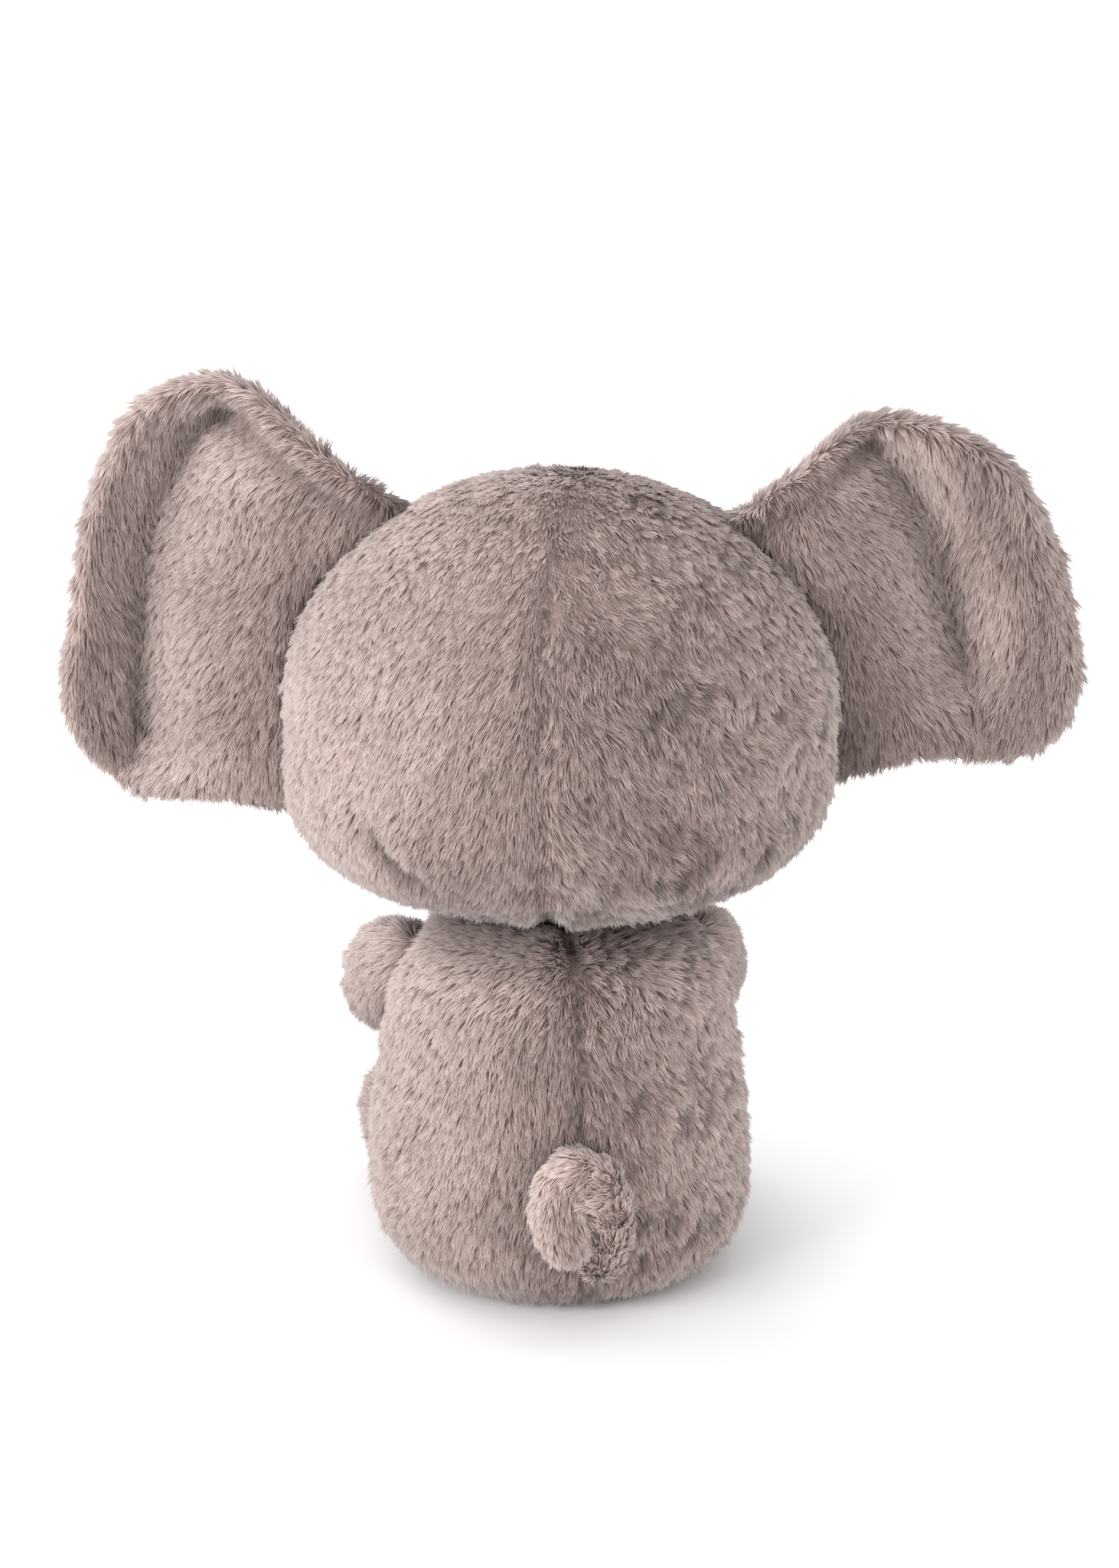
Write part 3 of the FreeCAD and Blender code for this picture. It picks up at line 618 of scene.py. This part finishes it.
# the puckers drawn in along the back seam, and how the torso's pile lies
torsoPuckers = {"least": 0.75, "more": 0.25, "spacing": 0.9, "wander": 1.3, "wanderSpacing": 0.23}
torsoLie = {"fan": 0.45, "seamFan": 0.3, "seamFanWidth": 12, "lowSweep": 1.5, "halfWidth": 60,
            "seamShorter": 0.45, "creaseShorter": 0.3}
# painted shade in the back seam's puckered groove beside its own dark line, in the creases, in the rubbed partings
# and on the top under the head; painted light on the right side
torsoPaintedLightAndTone = {"seam": 0.55, "crease": 0.45, "partingShade": 0.6, "paintedShadeUnderHead": 0.35, "right": 0.12}
torsoCreases = [[(29, 51, 35), (23, 54, 31), (17, 56, 28)], [(-36, 45, 26), (-31, 47, 18)]]


def torsoSeam(places):
    beside, back, rise = (places / mm).T
    swing = torsoPuckers["wander"] * np.sin(rise * torsoPuckers["wanderSpacing"])
    pinches = torsoPuckers["least"] + torsoPuckers["more"] * np.sin(rise * torsoPuckers["spacing"] + swing)
    return bell(beside, torsoSizes["seamWidth"]) * smoothStep(10, 30, back) * smoothStep(30, 50, rise) * pinches


def torsoCrease(places):
    depth = np.zeros(len(places))
    for line in torsoCreases:
        depth = np.maximum(depth, bell(towardsLine(places, line), torsoSizes["creaseWidth"]))
    return depth


def torsoNap(places):
    beside, back, rise = (places / mm).T
    flow = straightDown(places)
    share = beside / torsoLie["halfWidth"]
    flow[:, 0] += share * torsoLie["fan"]
    flow[:, 0] += np.sign(beside) * torsoLie["seamFan"] * bell(beside, torsoLie["seamFanWidth"])
    low = 1 - smoothStep(8, 24, rise)
    flow[:, 0] -= share * torsoLie["lowSweep"] * low  # under the tail it sweeps round the base towards the middle
    return flow


def clearOfFloor(places, facing):
    # no pile is planted where the seat presses on the floor
    return (facing[:, 2] > torsoSizes["seatFacing"]) | (places[:, 2] > torsoSizes["seatRise"] * mm)


def makeTorso():
    nodes = ["torso_back_left", "torso_back_right", "torso_belly", "torso_seat", "torso_filling", "pellet_bag"]
    skin = skinFrom("torsoSkin", nodes, torsoSizes["voxel"], torsoSizes["inset"], torsoSizes["smoothing"])
    stuff(skin, torsoSizes["pressure"], torsoSizes["swell"])
    places = points(skin)
    pinch = torsoSeam(places) * torsoSizes["seamDepth"] + torsoCrease(places) * torsoSizes["creaseDepth"]
    out = np.linalg.norm(places[:, :2], axis=1) / mm
    hips = bell(places[:, 2] / mm - torsoSizes["hipRise"], torsoSizes["hipHeight"]) * smoothStep(30, 50, out)
    pinch -= torsoSizes["hipPuff"] * hips
    movePoints(skin, places - normals(skin) * pinch[:, None] * mm)
    places = points(skin)
    top = smoothStep(88, 104, places[:, 2] / mm) * (1 - smoothStep(34, 50, out))
    places[:, 2] += top * torsoSizes["shoulderPuff"] * mm  # the filling pushes up round the neck, under the head
    movePoints(skin, places)
    settleOnFloor(skin)
    skin.data.materials.append(greyBacking)
    sizes = dict(pileSizes, perSquareMm=pileSizes["perSquareMm"] * torsoSizes["backShare"])

    def lengthAt(places):
        shorter = torsoLie["seamShorter"] * torsoSeam(places) + torsoLie["creaseShorter"] * torsoCrease(places)
        return 1 - shorter

    def toneAt(places):
        beside, _, rise = (places / mm).T
        # painted shade and painted light laid into the pile's tone, as in the torso's tone table
        shade = 1 - torsoPaintedLightAndTone["seam"] * torsoSeam(places) - torsoPaintedLightAndTone["crease"] * torsoCrease(places)
        shade = shade * (1 - torsoPaintedLightAndTone["partingShade"] * partingShade(places, beside))
        shade = shade * (1 - torsoPaintedLightAndTone["paintedShadeUnderHead"] * smoothStep(102, 110, rise))
        return shade * (1 + torsoPaintedLightAndTone["right"] * smoothStep(0, 30, -beside))

    panels = {
        "torso_back_left": lambda places: (places[:, 0] > 0) & (places[:, 1] > 0),
        "torso_back_right": lambda places: (places[:, 0] <= 0) & (places[:, 1] > 0),
        "torso_belly": lambda places: places[:, 1] <= 0,
    }
    for number, (nodeName, panel) in enumerate(panels.items()):
        own = dict(sizes, seed=41 + number)
        if nodeName == "torso_belly":
            own["perSquareMm"] *= torsoSizes["bellyShare"]
        if nodeName == "torso_back_right":
            own.update(rubbedPile)
        fur = makePile(f"{nodeName}_pile", skin, own, torsoNap, greyPile,
                       keep=lambda places, facing: panel(places) & clearOfFloor(places, facing),
                       lengthAt=lengthAt, toneAt=toneAt)
        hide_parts(nodeName)
        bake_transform(fur)
    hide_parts("torso_seat", "torso_filling", "pellet_bag")
    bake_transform(skin)


makeTorso()
print("torso done")


# the tail is a small stuffed roll, curled over like a comma
# the tail's tone paints its whole pile paler, as painted light
tailSizes = {"voxel": 1.6, "smoothing": 6, "rollRadius": 7.2, "fill": 0.8, "length": 4.4, "tipLean": 80,
             "strandTone": 0.02, "tone": 1.22, "alongRoll": 0.8, "fall": 0.5}
# the middle of the roll: beside, back, height and share of the radius
tailRoll = [
    (-5, 60, 24, 0.9), (-6, 61.5, 32, 1.05), (-5.5, 63, 41, 1.15), (-2.5, 64, 48.5, 1.2), (2.5, 64.5, 52, 1.1),
    (6.5, 65, 49, 1.1), (8.0, 66, 43, 1.15), (7.5, 66.5, 37, 1.1), (6, 66.5, 32, 0.9),
]


def makeTail():
    pickNothing()
    balls = []
    for x, y, z, share in tailRoll:
        radius = tailSizes["rollRadius"] * share * mm
        bpy.ops.mesh.primitive_uv_sphere_add(segments=24, ring_count=16, radius=radius,
                                             location=(x * mm, y * mm, z * mm))
        balls.append(bpy.context.active_object)
    pickOnly(balls[0])
    for ball in balls:
        ball.select_set(True)
    bpy.ops.object.transform_apply(location=True, rotation=True, scale=True)
    bpy.ops.object.join()
    skin = balls[0]
    skin.name = skin.data.name = "tailSkin"
    applyModifier(skin, "REMESH", mode="VOXEL", voxel_size=tailSizes["voxel"] * mm, use_smooth_shade=True)
    applyModifier(skin, "SMOOTH", factor=skinSettings["smoothFactor"], iterations=tailSizes["smoothing"])
    skin.data.materials.append(greyBacking)
    line = np.array([corner[:3] for corner in tailRoll]) * mm

    def nap(places):
        gaps = np.linalg.norm(places[:, None] - line[None], axis=2)
        nearest = np.clip(np.argmin(gaps, axis=1), 1, len(line) - 2)
        flow = unit(line[nearest + 1] - line[nearest - 1]) * tailSizes["alongRoll"]
        flow[:, 2] -= tailSizes["fall"]
        return flow

    sizes = dict(pileSizes, length=tailSizes["length"], tipLean=tailSizes["tipLean"],
                 strandTone=tailSizes["strandTone"], seed=51)
    # the whole tail's pile painted paler as painted light
    fur = makePile("tail_pile", skin, sizes, nap, greyPile,
                   toneAt=lambda places: np.full(len(places), tailSizes["tone"]))
    for piece in (skin, fur):
        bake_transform(piece)
    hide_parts("tail_cover", "tail_filling")


makeTail()
print("tail done")


trunkSizes = {
    "voxel": 2.2, "inset": 1.6, "ringSpacing": 7.5, "ringDepth": 1.3, "ringPaintedShade": 0.2, "fill": 0.9, "length": 3.6,
    "pileShare": 0.75, "rootForward": 66, "blendLength": 16,
}


def trunkRings(places):
    # 1 in the narrow folds between the trunk's rings
    return np.abs(np.sin(places[:, 2] / mm * math.pi / trunkSizes["ringSpacing"])) ** 6


def makeTrunk():
    skin = skinFrom("trunkSkin", ["trunk_cover", "trunk_filling"], trunkSizes["voxel"], trunkSizes["inset"])
    places = points(skin)
    movePoints(skin, places - normals(skin) * (trunkRings(places) * trunkSizes["ringDepth"] * mm)[:, None])
    skin.data.materials.append(greyBacking)
    sizes = dict(pileSizes, length=trunkSizes["length"], seed=52,
                 perSquareMm=pileSizes["perSquareMm"] * trunkSizes["pileShare"])
    # the folds between the rings darkened as painted shade
    fur = makePile("trunk_pile", skin, sizes, straightDown, greyPile,
                   toneAt=lambda places: 1 - trunkSizes["ringPaintedShade"] * trunkRings(places))
    for piece in (skin, fur):
        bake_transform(piece)
    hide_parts("trunk_cover", "trunk_filling")


makeTrunk()
print("trunk done")


earSizes = {
    "voxel": 2.4, "inset": 0.8, "smoothing": 10, "fill": 0.4, "rootStretch": 13, "rootReach": 20,
    "valleyDepth": 10.0, "valleyWidth": 12, "foldDepth": 3.5, "foldWidth": 6.0,
    "rimLift": 4.0, "rimWidth": 20, "topRimShare": 0.8, "bulge": 2.5, "bulgeFromValley": 26, "bulgeWidth": 22,
    "edgePuff": 6.0, "edgePuffRise": 224, "edgePuffHeight": 30, "lobeOut": 2.5, "lobeDrop": 3.0,
    "rearFacing": -0.35, "blendInside": 6, "blendOutside": 9,
}
earPile = {
    "backShare": 0.95, "liningShare": 0.55, "liningWidth": 0.7, "sway": 14, "lockTurn": 12, "rimLength": 0.15,
    "valleyLength": 0.25, "outFlow": 0.45, "topFlow": 0.5,
    "valleyPaintedShade": 0.34, "foldPaintedShade": 0.22, "rootPaintedShade": 0.35, "topPaintedLight": 0.06,
}
# lines across the back of each ear, as side and height: the valley inside the curled rim, the fold along the top
earValleys = {
    "left": [(97, 259), (102, 255), (107, 245), (113, 228), (119, 206), (122, 184), (121, 160)],
    "right": [(-93, 255), (-98, 250), (-103, 240), (-109, 226), (-117, 206), (-122, 188)],
}
earTopFolds = {
    "left": [(97, 259), (90, 256), (80, 250), (69, 242), (58, 236)],
    "right": [(-93, 255), (-86, 252), (-76, 245), (-66, 238), (-54, 230)],
}


def makeEar(hand, sign):
    nodes = [f"ear_{hand}_back", f"ear_{hand}_lining", f"ear_{hand}_wadding"]
    axis = np.array(joint(f"ear_{hand}_flap")["axis"])
    skin = skinFrom(f"ear_{hand}_skin", nodes, earSizes["voxel"], earSizes["inset"], earSizes["smoothing"])
    places = points(skin)
    centred = places - places.mean(axis=0)
    _, directions = np.linalg.eigh(centred.T @ centred)
    rear = directions[:, 0] * np.sign(directions[1, 0])  # the ear's flat, towards the back
    outward = unit(np.cross(rear, axis))
    outward = outward * np.sign(outward[0] * sign)
    root = ((places - places.mean(axis=0)) @ outward).min()
    rootPlace = places.mean(axis=0) + outward * root

    def fromRoot(spots):
        return (spots - rootPlace) @ outward / mm

    def flatPlaces(spots):
        return np.stack([spots[:, 0], np.zeros(len(spots)), spots[:, 2]], axis=1)

    def lineOnEar(line):
        return [(x, 0, z) for x, z in line]

    def valleyAt(spots):
        return towardsLine(flatPlaces(spots), lineOnEar(earValleys[hand]))

    def foldAt(spots):
        return towardsLine(flatPlaces(spots), lineOnEar(earTopFolds[hand]))

    def beyondValley(spots):
        heights = np.array([z for x, z in earValleys[hand]])[::-1] * mm
        beside = np.array([x for x, z in earValleys[hand]])[::-1] * mm
        return (spots[:, 0] - np.interp(spots[:, 2], heights, beside)) * sign / mm

    def aboveFold(spots):
        beside = np.array([x for x, z in earTopFolds[hand]]) * mm
        heights = np.array([z for x, z in earTopFolds[hand]]) * mm
        order = np.argsort(beside)
        return (spots[:, 2] - np.interp(spots[:, 0], beside[order], heights[order])) / mm

    reach = fromRoot(places)
    pull = np.clip(1 - reach / earSizes["rootReach"], 0, 1) * earSizes["rootStretch"]
    lift = -earSizes["valleyDepth"] * bell(valleyAt(places), earSizes["valleyWidth"])
    lift -= earSizes["foldDepth"] * bell(foldAt(places), earSizes["foldWidth"])
    rim = np.maximum(smoothStep(2, earSizes["rimWidth"], beyondValley(places)),
                     earSizes["topRimShare"] * smoothStep(2, 9, aboveFold(places)))
    lift += earSizes["rimLift"] * rim
    middle = smoothStep(4, 26, reach) * (1 - rim)
    fromValley = valleyAt(places) - earSizes["bulgeFromValley"]
    lift += earSizes["bulge"] * middle * bell(fromValley, earSizes["bulgeWidth"])
    rise = places[:, 2] / mm
    full = bell(rise - earSizes["edgePuffRise"], earSizes["edgePuffHeight"]) * smoothStep(24, 60, reach)
    low = smoothStep(20, 50, reach) * (1 - smoothStep(160, 190, rise))
    spreadOut = earSizes["edgePuff"] * full - pull + earSizes["lobeOut"] * low
    places = places + rear[None] * (lift * mm)[:, None] + outward[None] * (spreadOut * mm)[:, None]
    places[:, 2] -= earSizes["lobeDrop"] * low * mm
    movePoints(skin, places)
    skin.data.materials.append(greyBacking)

    def nap(spots):
        flow = straightDown(spots)
        strip = smoothStep(-4, 8, beyondValley(spots))
        flow += outward[None] * (earPile["outFlow"] * (1 - strip) * smoothStep(6, 30, fromRoot(spots)))[:, None]
        flow += outward[None] * (earPile["topFlow"] * smoothStep(0, 6, aboveFold(spots)))[:, None]
        return flow

    def toRear(spots, facing):
        return facing @ rear > earSizes["rearFacing"]

    def lengthAt(spots):
        rimPile = earPile["rimLength"] * smoothStep(-2, 8, beyondValley(spots))
        return 1 + rimPile - earPile["valleyLength"] * bell(valleyAt(spots), 4)

    def toneAt(spots):
        # painted shade in the valley, along the top fold and at the root against the head; painted light on the rim
        # above the fold
        shade = 1 - earPile["valleyPaintedShade"] * bell(valleyAt(spots), 7) - earPile["foldPaintedShade"] * bell(foldAt(spots), 3.5)
        shade = shade * (1 - earPile["rootPaintedShade"] * bell(fromRoot(spots), 8))
        return shade * (1 + earPile["topPaintedLight"] * smoothStep(2, 7, aboveFold(spots)))

    dense = pileSizes["perSquareMm"] * earPile["backShare"]
    backSizes = dict(pileSizes, perSquareMm=dense, sway=earPile["sway"], lockTurn=earPile["lockTurn"],
                     seed=83 + sign)
    back = makePile(f"ear_{hand}_back_pile", skin, backSizes, nap, greyPile, keep=toRear, lengthAt=lengthAt,
                    toneAt=toneAt)
    liningSizes = dict(shortPileSizes, perSquareMm=dense * earPile["liningShare"], width=earPile["liningWidth"],
                       seed=93 + sign)
    lining = makePile(f"ear_{hand}_lining_pile", skin, liningSizes, nap, palePile,
                      keep=lambda spots, facing: ~toRear(spots, facing))
    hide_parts(f"ear_{hand}_wadding")
    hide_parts(f"ear_{hand}_back")
    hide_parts(f"ear_{hand}_lining")
    for piece, slot in ((skin, "grey_plush"), (back, "grey_plush"), (lining, "pale_plush")):
        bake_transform(piece)


for hand, sign in sides:
    makeEar(hand, sign)
print("ears done")


limbSizes = {
    "armVoxel": 2.4, "legVoxel": 2.8, "inset": 1.4, "armPileShare": 0.9, "legPileShare": 0.7, "length": 5.6,
    "padLength": 2.0, "padMargin": 0.6, "fill": 0.8, "alongLimb": 0.8, "fall": 0.5,
    "shoulderInside": 4, "shoulderOutside": 14, "hipBehind": 16, "hipAhead": 20,
}


def makeLimb(name, padNode, voxel, pileShare, seed, start, end):
    cover, filling = f"{name}_cover", f"{name}_filling"
    skin = skinFrom(f"{name}_skin", [cover, padNode, filling], voxel, limbSizes["inset"])
    settleOnFloor(skin)
    skin.data.materials.append(greyBacking)
    padLow, padHigh = (np.array(corner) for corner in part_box(padNode))
    padMiddle, padHalf = (padLow + padHigh) / 2, (padHigh - padLow) / 2 + limbSizes["padMargin"] * mm

    def onPad(places, facing):
        return (np.abs(places - padMiddle) < padHalf).all(axis=1)

    along = unit(end - start)

    def nap(places):
        return along[None] * limbSizes["alongLimb"] + np.array([0, 0, -limbSizes["fall"]])[None]

    sizes = dict(pileSizes, perSquareMm=pileSizes["perSquareMm"] * pileShare, length=limbSizes["length"], seed=seed)
    fur = makePile(f"{name}_pile", skin, sizes, nap, greyPile, keep=lambda places, facing: ~onPad(places, facing))
    padSizes = dict(shortPileSizes, length=limbSizes["padLength"], seed=seed + 1)
    pad = makePile(f"{padNode}_pile", skin, padSizes, nap, palePile, keep=onPad)
    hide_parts(filling)
    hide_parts(cover)
    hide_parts(padNode)
    for piece, slot in ((skin, "grey_plush"), (fur, "grey_plush"), (pad, "pale_plush")):
        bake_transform(piece)


for hand, sign in sides:
    armLow, armHigh = (np.array(corner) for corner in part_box(f"arm_{hand}_cover"))
    shoulder = np.array(joint(f"arm_{hand}_raise")["pos_m"])
    towards = unit((armLow + armHigh) / 2 - shoulder)
    makeLimb(f"arm_{hand}", f"arm_{hand}_paw_pad", limbSizes["armVoxel"], limbSizes["armPileShare"], 62 + sign,
             shoulder - towards * limbSizes["shoulderInside"] * mm,
             shoulder + towards * limbSizes["shoulderOutside"] * mm)
    hip = np.array(joint(f"leg_{hand}_lift")["pos_m"])
    ahead = np.array([0, -1, 0])
    makeLimb(f"leg_{hand}", f"leg_{hand}_sole_pad", limbSizes["legVoxel"], limbSizes["legPileShare"], 72 + sign,
             hip - ahead * limbSizes["hipBehind"] * mm, hip + ahead * limbSizes["hipAhead"] * mm)
print("limbs done")


def eyePlastic():
    # Injection-moulded acrylic eye: near-black with a faint brown mottle, polished to a hard shine.
    material, tree = newMaterial("blackAcrylicEye")
    place = addNode(tree, "ShaderNodeTexCoord")
    mottling = addNode(tree, "ShaderNodeTexNoise", {"Scale": 1 / (3 * mm), "Detail": 2.0},
                       {"Vector": place.outputs["Object"]})
    ramp = addNode(tree, "ShaderNodeValToRGB", links={"Fac": mottling.outputs["Fac"]})
    ramp.color_ramp.elements[0].color = linear("#0b0807")
    ramp.color_ramp.elements[1].color = linear("#21140f")
    shader = addNode(tree, "ShaderNodeBsdfPrincipled",
                     {"Roughness": 0.07, "IOR": 1.49, "Coat Weight": 0.5, "Coat Roughness": 0.03},
                     {"Base Color": ramp.outputs["Color"]})
    finishMaterial(tree, shader)
    return material


def washerPlastic():
    # White nylon locking washer: matt from the mould, with a slightly uneven white.
    material, tree = newMaterial("whiteNylonWasher")
    place = addNode(tree, "ShaderNodeTexCoord")
    grain = addNode(tree, "ShaderNodeTexNoise", {"Scale": 1 / (0.8 * mm)}, {"Vector": place.outputs["Object"]})
    ramp = addNode(tree, "ShaderNodeValToRGB", links={"Fac": grain.outputs["Fac"]})
    ramp.color_ramp.elements[0].color = linear("#dcdad4")
    ramp.color_ramp.elements[1].color = linear("#f0eee9")
    shader = addNode(tree, "ShaderNodeBsdfPrincipled", {"Roughness": 0.45}, {"Base Color": ramp.outputs["Color"]})
    finishMaterial(tree, shader)
    return material


def sewingThread():
    # Doubled polyester sewing thread in warm grey, its twist seen as fine slanting bands.
    material, tree = newMaterial("greySewingThread")
    place = addNode(tree, "ShaderNodeTexCoord")
    twist = addNode(tree, "ShaderNodeTexWave", {"Scale": 1 / (1.2 * mm) / 6.28, "Distortion": 1.0},
                    {"Vector": place.outputs["Object"]})
    ramp = addNode(tree, "ShaderNodeValToRGB", links={"Fac": twist.outputs["Fac"]})
    ramp.color_ramp.elements[0].color = linear("#6d605c")
    ramp.color_ramp.elements[1].color = linear("#9c8e89")
    bump = addNode(tree, "ShaderNodeBump", {"Strength": 0.5, "Distance": 0.2 * mm}, {"Height": twist.outputs["Fac"]})
    shader = addNode(tree, "ShaderNodeBsdfPrincipled", {"Roughness": 0.6},
                     {"Base Color": ramp.outputs["Color"], "Normal": bump.outputs["Normal"]})
    finishMaterial(tree, shader)
    return material


def dress(nodeName, material):
    piece = frame["nodes"][nodeName]
    for slot in piece.material_slots:
        slot.material = material
    if not piece.material_slots:
        piece.data.materials.append(material)


acrylic, nylon, thread = eyePlastic(), washerPlastic(), sewingThread()
for hand, _ in sides:
    dress(f"eye_{hand}", acrylic)
    dress(f"eye_{hand}_washer", nylon)
dress("neck_filling", greyBacking)
dress("neck_thread", thread)
print("small parts done")


def makeStage():
    pickNothing()
    bpy.ops.mesh.primitive_plane_add(size=studio["floorSize"], location=(0, 0, 0))
    floor = bpy.context.active_object
    floor.name = "floor"
    material, tree = newMaterial("whitePaperSweep")
    shader = addNode(tree, "ShaderNodeBsdfPrincipled",
                     {"Base Color": linear(studio["floorColour"]), "Roughness": 0.9, "Specular IOR Level": 0.1})
    finishMaterial(tree, shader)
    floor.data.materials.append(material)


def softLight(name, place, aim, width, height, power):
    light = bpy.data.lights.new(name, "AREA")
    light.shape = "RECTANGLE"
    light.size = width
    light.size_y = height
    light.energy = power
    lamp = bpy.data.objects.new(name, light)
    bpy.context.scene.collection.objects.link(lamp)
    lamp.location = place
    lamp.rotation_euler = (Vector(aim) - Vector(place)).to_track_quat("-Z", "Y").to_euler()


# each panel: its place, what it is aimed at, its width and height in metres, and its watts
lightPanels = {
    "keyPanel": ((1.7, 1.3, 0.75), (0, 0, 0.14), 1.2, 1.1, 41),
    "fillPanel": ((-1.1, 1.8, 0.35), (0, 0, 0.08), 1.6, 1.4, 19),
    "frontPanel": ((0.8, -2.2, 1.0), (0, 0, 0.14), 2.0, 1.6, 36),
    "topPanel": ((0, -0.3, 2.2), (0, 0, 0.14), 1.6, 1.6, 8),
}
studio = {"floorSize": 60, "floorColour": "#f6f6f6", "worldStrength": 0.85}


def makeLights():
    for name, panel in lightPanels.items():
        softLight(name, *panel)
    world = bpy.data.worlds.new("studio")
    bpy.context.scene.world = world
    world.use_nodes = True
    background = world.node_tree.nodes["Background"]
    background.inputs["Color"].default_value = (1, 1, 1, 1)
    background.inputs["Strength"].default_value = studio["worldStrength"]
    bpy.context.scene.view_settings.view_transform = "Standard"


# angles in degrees and lengths in metres
view = {"azimuth": 173, "elevation": 19, "distance": 1.9, "picturedHeight": 0.472, "aimRise": 0.1533}


def makeCamera():
    around, up = math.radians(view["azimuth"]), math.radians(view["elevation"])
    # azimuth 0 looks along +Y
    away = Vector((math.sin(around) * math.cos(up), -math.cos(around) * math.cos(up), math.sin(up)))
    aim = Vector((0, 0, view["aimRise"]))
    camera = bpy.data.cameras.new("camera")
    camera.lens = camera.sensor_width * view["distance"] / view["picturedHeight"]
    camera.clip_end = 20
    holder = bpy.data.objects.new("camera", camera)
    bpy.context.scene.collection.objects.link(holder)
    holder.location = aim + away * view["distance"]
    holder.rotation_euler = (-away).to_track_quat("-Z", "Y").to_euler()
    bpy.context.scene.camera = holder


makeStage()
makeLights()
makeCamera()
print("stage, lights and camera done")
